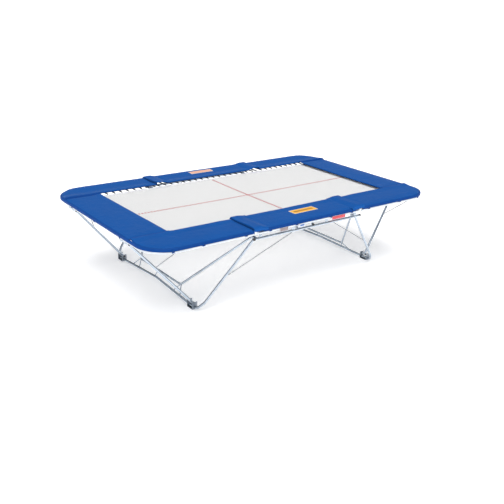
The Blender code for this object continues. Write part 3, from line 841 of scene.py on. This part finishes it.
def build_spring_row(part, places, body, out, lengthwise):
    """One row of springs from the bed's hem out to a rail; out is -1 or 1."""
    hem, rail = (BED_Y, RAIL_Y) if lengthwise else (BED_X, END_RAIL_X)
    tips = ((hem + HOOK_R, BED_Z), (rail - RAIL_R - HOOK_GAP, RAIL_Z + HOOK_R))
    shape = Shape()
    for at in places:
        ends = [(at, out * reach, z) if lengthwise else (out * reach, at, z) for reach, z in tips]
        add_spring(shape, *ends)
    nodes = [f"spring_row_{part}"]
    piece(f"springs_{part}", shape, SHADED_SPRING_STEEL, body, nodes, 60)


def build_springs():
    reach = HINGE_X - SPRING_MARGIN
    for row_name, row in ROWS.items():
        places = row_places(-reach, reach, SPRING_PITCH)
        build_spring_row(f"middle_{row_name}", places, "centre_section", row, True)
        for side_name, side in SIDES.items():
            limits = sorted((side * (HINGE_X + SPRING_MARGIN), side * (BED_X - SPRING_MARGIN)))
            places = row_places(*limits, SPRING_PITCH)
            build_spring_row(f"{side_name}_{row_name}", places, f"{side_name}_end", row, True)
    reach = BED_Y - SPRING_MARGIN
    for side_name, side in SIDES.items():
        places = row_places(-reach, reach, END_SPRING_PITCH)
        build_spring_row(f"{side_name}_end", places, f"{side_name}_end", side, False)


def ends_of(node):
    """The middle of each end face of a long thin node."""
    points = np.array([v.co for v in frame["nodes"][node].data.vertices])
    centre = points.mean(0)
    along = np.linalg.svd(points - centre, full_matrices=False)[2][0]
    reach = (points - centre) @ along
    picked = [points[reach < reach.min() + 0.001], points[reach > reach.max() - 0.001]]
    return sorted((Vector(p.mean(0)) for p in picked), key=lambda p: -p.z)


def add_link(shape, centre, run, side, length):
    """One oval chain link; it lies in the plane of run and side."""
    straight = length / 2 - LINK_HALF_W
    path = []
    for sign in (1, -1):
        for k in range(6):
            t = math.pi * k / 5 - math.pi / 2
            out = run * (sign * (straight + LINK_HALF_W * math.cos(t)))
            path.append(centre + out + side * (sign * LINK_HALF_W * math.sin(t)))
    shape.sweep(path, LINK_R, 6, closed=True, turn=run.cross(side))


def build_chain(node, name):
    """A chain whose links lie crosswise in turn."""
    start, end = ends_of(node)
    run = (end - start).normalized()
    count = round((end - start).length / LINK_PITCH)
    side = run.orthogonal().normalized()
    across = run.cross(side)
    step = (end - start) / count
    shape = Shape()
    for i in range(count):
        centre = start + step * (i + 0.5)
        add_link(shape, centre, run, side if i % 2 else across, step.length + 4 * LINK_R - 0.002)
    chain = piece(name, shape, BRIGHT_STEEL, None, [node], 60)
    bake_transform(chain)


def build_chains():
    for side_name in SIDES:
        for row_name in ROWS:
            name = f"{side_name}_{row_name}"
            build_chain(f"chain_long_{name}", f"leg_chain_{name}")
            build_chain(f"chain_short_{name}", f"strut_chain_{name}")


# ---------------------------------------------------------------- bed
def bed_height(x, y):
    """The bed hangs a little lower in the middle."""
    return BED_Z - BED_SAG * (1 - (x / BED_X) ** 2) * (1 - (y / BED_Y) ** 2)


def add_uv(mesh):
    """Flat cloth coordinates in metres, so that the weave keeps its size when the cloth bends."""
    layer = mesh.uv_layers.new(name="cloth")
    places = np.array([v.co for v in mesh.vertices])
    loops = np.array([loop.vertex_index for loop in mesh.loops])
    flat = np.stack((places[loops, 0] + 4.0, places[loops, 1] + 4.0), axis=1)
    layer.data.foreach_set("uv", flat.astype(np.float32).ravel())


def strip(shape, x, y, lift, thickness, steps):
    """A flat band over the bed between two lengths and two widths; it follows the sag."""
    xs = np.linspace(x[0], x[1], steps[0] + 1)
    ys = np.linspace(y[0], y[1], steps[1] + 1)
    levels = (lift, lift - thickness)
    shape.leaf(*([[(a, b, bed_height(a, b) + level) for b in ys] for a in xs] for level in levels))


def across_fold(obj):
    """Bakes the cloth's place into its mesh."""
    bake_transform(obj)


def cloth_piece(shape, part, smooth, finish, side_name):
    """A flat shape over the bed as a cloth piece, with its place baked into its mesh."""
    name = f"bed_{part}_{side_name}"
    mesh = shape.mesh(name, smooth)
    add_uv(mesh)
    obj = piece(name, mesh, finish)
    across_fold(obj)
    return obj


def build_bed_half(side_name, side):
    """Half of the bed, from its middle line to its end, with hem tape and centre lines."""
    x = sorted((0.0, side * BED_X))
    cloth = Shape()
    strip(cloth, x, (-BED_Y, BED_Y), CLOTH_LIFT, CLOTH_T, (80, 72))
    bed = cloth_piece(cloth, "cloth", 80, WEBBING, side_name)
    hem = Shape()
    inner = BED_Y - HEM_WIDTH
    tape_size = (CLOTH_LIFT + HEM_T / 2, HEM_T + CLOTH_T)
    for row in ROWS.values():
        strip(hem, x, sorted((row * inner, row * BED_Y)), *tape_size, (80, 2))
    end = sorted((side * (BED_X - HEM_WIDTH), side * BED_X))
    strip(hem, end, (-inner + 0.0005, inner - 0.0005), *tape_size, (2, 60))
    tape = cloth_piece(hem, "hem", 60, HEM, side_name)
    lines = Shape()
    half = LINE_W / 2
    for i in range(int((BED_X - HEM_WIDTH) / LINE_PITCH)):
        low = (i + 0.25) * LINE_PITCH
        ends = sorted((side * low, side * (low + LINE_PITCH * LONG_LINE_SHARE)))
        strip(lines, ends, (-half, half), 0.0022, LINE_T, (1, 1))
    count = int(inner / LINE_PITCH)
    for i in range(-count, count):
        low = (i + 0.25) * LINE_PITCH
        ends = sorted((0.0005 * side, side * half))
        strip(lines, ends, (low, low + LINE_PITCH * SHORT_LINE_SHARE), 0.0024, LINE_T, (1, 1))
    marks = cloth_piece(lines, "lines", 60, RED_TAPE, side_name)
    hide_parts(f"bed_{side_name}")
    return bed


# ---------------------------------------------------------------- pads
def coords(mesh):
    return np.array([v.co for v in mesh.vertices], float).reshape(-1, 3)


def set_coords(mesh, places):
    mesh.vertices.foreach_set("co", places.astype(np.float32).ravel())
    mesh.update()


def dense(outline, step=0.05):
    """The outline with points at even short distances along its straight runs."""
    points = []
    for a, b in zip(outline, outline[1:] + outline[:1]):
        count = max(1, round(math.dist(a, b) / step))
        points += [(a[0] + (b[0] - a[0]) * i / count, a[1] + (b[1] - a[1]) * i / count) for i in range(count)]
    return points


def applied(obj):
    """The object's mesh as its modifiers leave it."""
    evaluated = obj.evaluated_get(bpy.context.evaluated_depsgraph_get())
    return bpy.data.meshes.new_from_object(evaluated)


def swell(mesh):
    """A cover filled by its foam: a cloth simulation with pressure, and each point's travel capped."""
    obj = new_object("swelling", mesh)
    rest = coords(mesh)
    cloth = obj.modifiers.new("cover", "CLOTH")
    for key, value in COVER_CLOTH.items():
        setattr(cloth.settings, key, value)
    cloth.settings.effector_weights.gravity = 0
    cloth.point_cache.frame_start = 1
    cloth.point_cache.frame_end = SWELL_FRAMES
    for step in range(1, SWELL_FRAMES + 1):
        bpy.context.scene.frame_set(step)
    moved = coords(applied(obj)) - rest
    bpy.context.scene.frame_set(1)
    bpy.data.objects.remove(obj)
    moved -= moved.mean(0)
    reach = np.linalg.norm(moved, axis=1, keepdims=True)
    moved *= np.minimum(1.0, SWELL_CAP / np.maximum(reach, 1e-9))
    set_coords(mesh, rest + moved)


def pad_blank(outline):
    """A slab a little smaller than the pad, as an even mesh, filled out by the simulation."""
    shape = Shape()
    middle = (PAD_LOW + PAD_TOP) / 2
    centre = np.mean(outline, axis=0)
    size = np.ptp(outline, axis=0)
    shrink = 1 - 2 * SWELL / size
    points = [(*(centre + (np.array(p) - centre) * shrink), PAD_LOW + SWELL) for p in outline]
    shape.slab(points, (0, 0, 2 * (middle - PAD_LOW - SWELL)))
    obj = new_object("blank", shape.mesh("blank"))
    step = obj.modifiers.new("even", "REMESH")
    step.mode = "VOXEL"
    step.voxel_size = VOXEL
    mesh = applied(obj)
    bpy.data.objects.remove(obj)
    swell(mesh)
    return mesh


def relax(mesh, rounds, share):
    """Smooth a mesh by moving each point towards its neighbours."""
    bm = bmesh.new()
    bm.from_mesh(mesh)
    for _ in range(rounds):
        bmesh.ops.smooth_vert(bm, verts=bm.verts, factor=share, **dict.fromkeys(ALL_AXES, True))
    bm.to_mesh(mesh)
    bm.free()


def waves(x, y):
    """Soft unevenness of a foam pad, between -1 and 1."""
    a = np.sin(2.1 * x + 1.3 * y + 0.7) + 0.7 * np.sin(4.3 * x - 3.1 * y + 2.0)
    b = 0.5 * np.sin(9.7 * x + 5.9 * y) + 0.35 * np.sin(15.1 * x - 12.3 * y + 1.1)
    return (a + b) / 2.55


def shape_pad(places, inner, end_pad, seam, full):
    """Lift the inner edge, crown the top and turn the outer edge down, less on a full pad."""
    x, y, z = places.T
    share = np.clip((z - PAD_LOW) / (PAD_TOP - PAD_LOW), 0, 1)
    if end_pad:
        reach = np.abs(x) - inner
        width = HALF_LENGTH - inner
        lift, under = END_PAD_EDGE
    else:
        reach = np.abs(y) - inner
        width = HALF_WIDTH - inner
        base, more, under = SIDE_PAD_EDGE
        lift = base + more * ease((np.abs(np.abs(x) - HINGE_X) - 0.05) / 0.25)
    edge = ease(1 - reach / INNER_ROLL)
    crown = np.sin(np.pi * np.clip(reach / width, 0, 1))
    z = z + edge * (lift * share + under * (1 - share))
    z = z + PAD_CROWN * crown * share
    z = z - PAD_TURN_DOWN * (1 - full) * share * ease(1 - (width - reach) / 0.05)
    away = ease((np.abs(np.abs(x) - HINGE_X) - 0.05) / 0.40)
    z = z + full * share * (FAR_LIFT[0] + FAR_LIFT[1] * away) * ease(1 - (width - reach) / 0.30)
    if not end_pad:
        y = y + np.sign(y) * full * FAR_BULGE * ease(1 - (width - reach) / 0.12)
    z = z + waves(x, y) * (WAVE[0] + WAVE[1] * edge)
    if seam:
        z = z + seam * ease(1 - np.abs(np.abs(y) - inner) / 0.05) * (np.abs(x) > PAD_INNER_X - 0.02)
    return np.stack((x, y, z), axis=1)


def store(mesh, name, values):
    """Keep one number for each point, which the cover's material reads."""
    layer = mesh.attributes.new(name, "FLOAT", "POINT")
    layer.data.foreach_set("value", values.astype(np.float32))


def edge_attribute(mesh, outline):
    """How close each point is to the pad's sewn edge, from 0 to 1."""
    places = coords(mesh)[:, :2]
    nearest = np.full(len(places), 9.0)
    for a, b in zip(outline, outline[1:] + outline[:1]):
        a, run = np.array(a), np.array(b) - np.array(a)
        t = np.clip(((places - a) @ run) / max(run @ run, 1e-12), 0, 1)
        nearest = np.minimum(nearest, np.linalg.norm(places - a - t[:, None] * run, axis=1))
    store(mesh, "edge", ease(1 - nearest / 0.022))


def on_surface(tree, outline, inset, height):
    """Places on the pad's skin just inside its outline, found from a height outside it."""
    found = []
    count = len(outline)
    for i, point in enumerate(outline):
        before, after = np.array(outline[i - 1]), np.array(outline[(i + 1) % count])
        run = after - before
        normal = np.array((-run[1], run[0])) / max(np.linalg.norm(run), 1e-9)
        place = np.array(point) + normal * inset
        found.append(tree.find_nearest(Vector((place[0], place[1], height)))[0])
    return found


def build_stitches(name, tree, outline, body):
    """A row of stitches round the top, and the welt cord on the pad's rim."""
    turned = outline if area_sign(outline) > 0 else outline[::-1]
    path = on_surface(tree, dense(turned, STITCH_PITCH), STITCH_INSET, PAD_TOP + 0.05)
    stitches = Shape()
    for a, b in zip(path, path[1:]):
        if (b - a).length < 0.03:
            middle, half = (a + b) / 2, (b - a) * 0.32
            lift = Vector((0, 0, 0.0007))
            stitches.sweep([middle - half, middle + lift, middle + half], [0.0006, 0.0011, 0.0006], 5)
    piece(f"stitches_{name}", stitches, THREAD, body, smooth=60)
    rim = on_surface(tree, dense(turned, 0.03), -0.01, PAD_TOP - 0.005)
    welt = Shape()
    welt.sweep(rim, WELT_R, 8, closed=True)
    piece(f"welt_{name}", welt, EDGE_SHADE_VINYL, body, smooth=60)


def area_sign(outline):
    return sum(a[0] * b[1] - b[0] * a[1] for a, b in zip(outline, outline[1:] + outline[:1]))


def painted_wall_shade(mesh):
    """How much painted shade each point gets for an upright skin, from 0 on the top to 1 on the side walls.
    """
    normals = np.array([v.normal for v in mesh.vertices])
    store(mesh, "wall_shade", ease((0.88 - normals[:, 2]) / 0.36))


def build_pad(name, blank, flips, outline, inner, body, node, seam=0.0, end_pad=False, full=0.0):
    """One pad from its blank, turned to its side of the frame."""
    mesh = blank.copy()
    places = coords(mesh) * np.array((*flips, 1.0))
    if flips[0] * flips[1] < 0:
        mesh.flip_normals()
    set_coords(mesh, shape_pad(places, inner, end_pad, seam, full))
    relax(mesh, 2, 0.5)
    turned = [(u * flips[0], v * flips[1]) for u, v in outline]
    obj = piece(name, mesh, VINYL)
    step = obj.modifiers.new("finer", "SUBSURF")
    step.levels = 1
    step.render_levels = 1
    finer = applied(obj)
    obj.modifiers.clear()
    obj.data = finer
    finer.shade_smooth()
    edge_attribute(finer, turned)
    painted_wall_shade(finer)
    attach(obj, body)
    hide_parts(node)
    build_stitches(name, skin_of(name), turned, body)


def build_pads():
    corner = arc((HALF_LENGTH - CORNER_R, HALF_WIDTH - CORNER_R), CORNER_R, 0, 90, 14)
    for row_name, row in ROWS.items():
        inner = PAD_INNER_Y[row_name]
        full = float(row_name == "far")
        x = MIDDLE_PAD_HALF
        outline = [(-x, inner), (x, inner), (x, HALF_WIDTH), (-x, HALF_WIDTH)]
        blank = pad_blank(dense(outline))
        node = f"pad_middle_{row_name}"
        name = f"middle_pad_{row_name}"
        build_pad(name, blank, (1, row), outline, inner, "centre_section", node, full=full)
        outline = [(PAD_END_X, inner), (HALF_LENGTH, inner)] + corner + [(PAD_END_X, HALF_WIDTH)]
        blank = pad_blank(dense(outline))
        for side_name, side in SIDES.items():
            node = f"pad_corner_{side_name}_{row_name}"
            name = f"corner_pad_{side_name}_{row_name}"
            body = f"{side_name}_end"
            build_pad(name, blank, (side, row), outline, inner, body, node, 0.006, full=full)
    low, high = END_PAD_Y
    outline = [(PAD_INNER_X, low), (HALF_LENGTH, low), (HALF_LENGTH, high), (PAD_INNER_X, high)]
    blank = pad_blank(dense(outline))
    for side_name, side in SIDES.items():
        name = f"end_pad_{side_name}"
        node = f"pad_end_{side_name}"
        build_pad(name, blank, (side, 1), outline, PAD_INNER_X, f"{side_name}_end", node, 0.0, True)
        for row_name, row in ROWS.items():
            build_lap(side_name, side, row_name, row)


def build_skirt(name, line, outwards, body):
    """The cover's hem, which hangs from a pad's outer edge over the top of the rail."""
    rows = []
    for point, out in zip(line, outwards):
        skin = [(point[0] + out[0] * u, point[1] + out[1] * u, PAD_LOW + z) for u, z in SKIRT_PROFILE]
        back = [(x - out[0] * 0.0020, y - out[1] * 0.0020, z - 0.0010) for x, y, z in reversed(skin)]
        rows.append(skin + back)
    shape = Shape()
    shape.shell(rows)
    piece(f"pad_hem_{name}", shape, EDGE_SHADE_VINYL, body, smooth=60)


def build_skirts():
    turns = [math.radians(90 - 90 * i / 24) for i in range(25)]
    corner = (HALF_LENGTH - CORNER_R, HALF_WIDTH - CORNER_R)
    for row_name, row in ROWS.items():
        x = np.linspace(-MIDDLE_PAD_HALF, MIDDLE_PAD_HALF, 30)
        line = [(u, row * HALF_WIDTH) for u in x]
        build_skirt(f"middle_{row_name}", line, [(0, row)] * len(line), "centre_section")
        for side_name, side in SIDES.items():
            x = np.linspace(PAD_END_X + 0.012, corner[0], 20)
            line = [(side * u, row * HALF_WIDTH) for u in x]
            out = [(0, row)] * len(line)
            for t in turns[1:]:
                way = (side * math.cos(t), row * math.sin(t))
                line.append((side * corner[0] + way[0] * CORNER_R, row * corner[1] + way[1] * CORNER_R))
                out.append(way)
            line.append((side * HALF_LENGTH, row * PAD_INNER_Y[row_name]))
            out.append((side, 0))
            build_skirt(f"corner_{side_name}_{row_name}", line, out, f"{side_name}_end")
    for side_name, side in SIDES.items():
        line = [(side * HALF_LENGTH, y) for y in np.linspace(*END_PAD_Y, 30)]
        build_skirt(f"end_{side_name}", line, [(side, 0)] * len(line), f"{side_name}_end")


def skin_of(name):
    """A search tree over a piece's skin."""
    mesh = bpy.data.objects[name].data
    return BVHTree.FromPolygons([v.co for v in mesh.vertices], [p.vertices for p in mesh.polygons])


def skin_point(tree, x, y):
    """The place on a pad's skin straight below a point high above it, or None beside the pad."""
    return tree.ray_cast(Vector((x, y, 2.0)), Vector((0, 0, -1)))[0]


def skin_height(tree, x, y):
    """The height of a pad's skin at a place, or of its nearest skin beside the pad."""
    return (skin_point(tree, x, y) or tree.find_nearest(Vector((x, y, PAD_TOP)))[0]).z


def build_lap(side_name, side, row_name, row):
    """The corner pad's cover, lapped over the end pad where they meet."""
    corner = skin_of(f"corner_pad_{side_name}_{row_name}")
    end = skin_of(f"end_pad_{side_name}")
    inner = PAD_INNER_Y[row_name]
    rows = []
    for x in np.linspace(PAD_INNER_X + 0.010, HALF_LENGTH - 0.002, 44):
        above = skin_height(corner, side * x, row * (inner + 0.022))
        below = skin_height(end, side * x, row * (inner - 0.026))
        skin = []
        for y, share, lift in LAP_PROFILE:
            skin.append((side * x, row * (inner + y), above * share + below * (1 - share) + lift))
        back = [(u, v, z - LAP_T) for u, v, z in reversed(skin)]
        rows.append(skin + back)
    shape = Shape()
    shape.shell(rows)
    name = f"pad_lap_{side_name}_{row_name}"
    piece(name, shape, EDGE_SHADE_VINYL, f"{side_name}_end", smooth=60)


def flap_height(x, y, row_name):
    """Height of a hinge flap's skin over the pads; the hinge lugs hold its outer end up."""
    rise = float(ease((x - FLAP_START) / 0.15))
    fall = float(ease((FLAP_END - x) / FLAP_FALL))
    inner, outer = FLAP_RISE[row_name]
    share = float(ease((abs(y) - 1.02) / 0.40))
    turned = 0.010 * float(ease((abs(y) - 1.508) / 0.020))
    return (inner + (outer - inner) * share - turned) * rise * fall


def build_hinge_flap(side_name, side, row_name, row):
    """The padded cover that humps over the hinge lugs where two pads meet."""
    inner = PAD_INNER_Y[row_name] - 0.004
    outer = HALF_WIDTH + 0.006
    xs = np.concatenate((np.linspace(FLAP_START, 0.985, 22), np.linspace(0.992, FLAP_END, 14)))
    ys = np.concatenate(([inner], np.linspace(inner + 0.006, outer - 0.008, 26), [outer]))
    base = PAD_TOP + 0.003
    rows_top, rows_low = [], []
    for x in xs:
        top_row, low_row = [], []
        for y in ys:
            edge = float(ease(1 - (y - PAD_INNER_Y[row_name]) / INNER_ROLL)) * 0.008
            ripple = FLAP_RIPPLE * float(waves(np.array(side * x), np.array(row * y)))
            droop = FLAP_DROOP * float(ease((x - FLAP_END + 0.012) / 0.012))
            top = base + flap_height(x, y, row_name) + edge + ripple - droop
            inside = float(ease((x - FLAP_START) / 0.10)) * float(ease((FLAP_END - x) / 0.03))
            thick = FLAP_T[0] + FLAP_T[1] * inside
            roll = FLAP_ROLL * (y in (ys[0], ys[-1]))
            top_row.append((side * x, row * y, top - roll))
            low_row.append((side * x, row * y, top - thick + roll * 0.3))
        rows_top.append(top_row)
        rows_low.append(low_row)
    shape = Shape()
    shape.grid([top + low[::-1] for top, low in zip(rows_top, rows_low)], closed=True)
    for end in (0, -1):
        shape.grid([rows_top[end], rows_low[end]])
    lip = [(side * x, row * outer) for x in np.linspace(0.80, FLAP_END, 20)]
    add_lip(shape, lip, row, row_name, base)
    bmesh.ops.remove_doubles(shape.bm, verts=shape.bm.verts, dist=0.00002)
    name = f"hinge_flap_{side_name}_{row_name}"
    mesh = shape.mesh(name, 50)
    # The flap's steep end is painted dark as painted shade.
    store(mesh, "wall_shade", ease((np.abs(coords(mesh)[:, 0]) - FLAP_END + 0.014) / 0.008))
    flap = piece(name, mesh, VINYL, "centre_section")
    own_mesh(flap)


def add_lip(shape, line, row, row_name, base):
    """The flap's outer hem that hangs over the pad's rim."""
    rows = []
    for x, y in line:
        rise = flap_height(abs(x), y, row_name)
        top = base + rise - 0.004
        out = row * 0.0035
        drop = 0.030 + rise * 0.6
        rows.append([(x, y, top), (x, y + out, top - 0.003), (x, y + out, top - drop), (x, y, top - drop)])
    shape.shell(rows)


def build_straps():
    """Fixing tabs with press studs under the pads' outer edges."""
    places = {
        "left_end": [(-1.83, "y"), (-1.16, "y"), (-2.28, "y")] + EDGE_TABS,
        "centre_section": [(-0.75, "y"), (-0.28, "y"), (0.374, "y"), (0.80, "y")],
        "right_end": [(1.16, "y"), (1.856, "y"), (2.28, "y")] + EDGE_TABS,
    }
    for body, spots in places.items():
        tabs, studs = Shape(), Shape()
        for at, line in spots:
            if line == "y":
                for row in ROWS.values():
                    add_tab(tabs, studs, Vector((at, row * (HALF_WIDTH - 0.001), 0)), Vector((0, row, 0)))
            else:
                side = -1 if body == "left_end" else 1
                add_tab(tabs, studs, Vector((side * (HALF_LENGTH - 0.001), at, 0)), Vector((side, 0, 0)))
        piece(f"pad_tabs_{body}", tabs, EDGE_SHADE_VINYL, body)
        piece(f"pad_studs_{body}", studs, BLACK, body)


def add_tab(tabs, studs, place, out):
    """A strap tab that leaves the pad's underside and turns in under the rail."""
    along = Vector((out.y, -out.x, 0))
    line = [(u, PAD_LOW + z) for u, z in TAB_PROFILE]
    rows = []
    for share in (-1, -0.9, 0.9, 1):
        skin = [place + along * (TAB_HALF_W * share) + out * u + Vector((0, 0, z)) for u, z in line]
        back = [p - out * TAB_T for p in skin]
        rows.append(skin + back[::-1])
    tabs.shell(rows)
    centre = place + out * 0.004 + Vector((0, 0, PAD_LOW - 0.014))
    studs.bar(centre, centre + out * 0.0035, 0.0075, 16, 0.001)


def build_patch(row_name, low, high, fill, border, band):
    """A sewn vinyl patch with a plain band, which lies on a middle pad's skin."""
    tree = skin_of(f"middle_pad_{row_name}")
    layers = [("border", 0.0, border, 0.0010), ("fill", 0.010, fill, 0.0018)]
    if band:
        layers.append(("band", 0.045, band, 0.0024))
    for part, inset, finish, lift in layers:
        x = np.linspace(low[0] + inset, high[0] - inset, 30)
        depth = inset if part != "band" else (high[1] - low[1]) * 0.36
        y = np.linspace(low[1] + depth, high[1] - depth, 8)
        rows = [[skin_point(tree, a, b) + Vector((0, 0, lift)) for b in y] for a in x]
        shape = Shape()
        shape.leaf(rows, [[p - Vector((0, 0, PATCH_T)) for p in row] for row in rows])
        piece(f"{row_name}_patch_{part}", shape, finish, "centre_section", smooth=50)


# ---------------------------------------------------------------- camera, floor and light
def build_camera():
    azimuth, pitch, roll = (math.radians(angle) for angle in CAMERA_ANGLES)
    level = Vector((math.sin(azimuth), math.cos(azimuth), 0))
    ahead = level * math.cos(pitch) - Vector((0, 0, math.sin(pitch)))
    right = ahead.cross(Vector((0, 0, 1))).normalized()
    up = right.cross(ahead)
    side = right * math.cos(roll) + up * math.sin(roll)
    top = up * math.cos(roll) - right * math.sin(roll)
    camera = new_object("camera", bpy.data.cameras.new("camera"))
    camera.data.sensor_width = 36.0
    camera.data.lens = CAMERA_LENS
    turn = Matrix((side, top, -ahead)).transposed().to_4x4()
    camera.matrix_world = Matrix.Translation(CAMERA_PLACE) @ turn
    bpy.context.scene.camera = camera


def build_floor():
    shape = Shape()
    lines = np.linspace(-FLOOR_HALF, FLOOR_HALF, 9)
    shape.grid([[(x, y, 0.0) for y in lines] for x in lines])
    f = Finish("pale_floor", Roughness=0.85, Specular_IOR_Level=0.1, Emission_Strength=0.38)
    f.shader.inputs["Emission Color"].default_value = (1.0, 1.0, 1.0, 1.0)
    f.link("Base Color", f.mix(f.noise(0.8, 2.0), (0.93, 0.93, 0.93), (0.95, 0.95, 0.95)))
    mesh = shape.mesh("floor")
    mesh.materials.append(f.material)
    floor = new_object("floor", mesh)


def add_sun(name, away, strength, softness):
    """A broad even light from a direction; softness is its width in the sky in degrees."""
    data = bpy.data.lights.new(name, "SUN")
    data.energy = strength
    data.angle = math.radians(softness)
    light = new_object(name, data)
    light.rotation_euler = Vector(away).to_track_quat("Z", "Y").to_euler()


def build_light():
    world = bpy.data.worlds.new("studio")
    bpy.context.scene.world = world
    world.use_nodes = True
    nodes, links = world.node_tree.nodes, world.node_tree.links
    ramp = nodes.new("ShaderNodeValToRGB")
    split = nodes.new("ShaderNodeSeparateXYZ")
    spot = nodes.new("ShaderNodeTexCoord")
    links.new(spot.outputs["Generated"], split.inputs[0])
    links.new(split.outputs[2], ramp.inputs["Fac"])
    stops = ramp.color_ramp.elements
    for place, level in SKY_LEVELS:
        stop = stops.new(place) if 0 < place < 1 else stops[0 if place == 0 else -1]
        stop.color = (level, level, level * 1.01, 1)
    links.new(ramp.outputs["Color"], nodes["Background"].inputs["Color"])
    nodes["Background"].inputs["Strength"].default_value = 1.0
    add_sun("key", (-0.20, -0.25, 1.0), 2.15, 50)
    add_sun("side", (-1.0, -0.7, 0.40), 0.35, 30)
    bpy.context.scene.view_settings.view_transform = "Standard"


# ---------------------------------------------------------------- assembly
def build_frame():
    for row_name, row in ROWS.items():
        build_main_rail(row_name, row)
        build_lower_rail(row_name, row)
        for side_name, side in SIDES.items():
            build_strut(side_name, side, row_name, row)
            build_hinge_flap(side_name, side, row_name, row)
    for side_name, side in SIDES.items():
        build_end_frame(side_name, side)
        build_outer_leg(side_name, side)
        build_inner_leg(side_name, side)
    build_plate("label_plate_grey", GREY_PLATE, WHITE_PLATE)
    build_plate("label_plate_white", WHITE_PLATE, WHITE_PLATE, BLUE_PLATE)
    build_plate("label_plate_red", RED_PLATE, WHITE_PLATE)
    build_knob()
    dress_cad_nodes()


build_camera()
build_floor()
build_light()
build_frame()
build_springs()
build_chains()
halves = [build_bed_half(side_name, side) for side_name, side in SIDES.items()]
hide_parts("bed_middle")
build_pads()
build_skirts()
build_straps()
build_patch("near", *NEAR_PATCH, YELLOW_PATCH, PALE_PATCH, AMBER_PATCH)
build_patch("far", *FAR_PATCH, FADED_PATCH, PALE_PATCH, None)
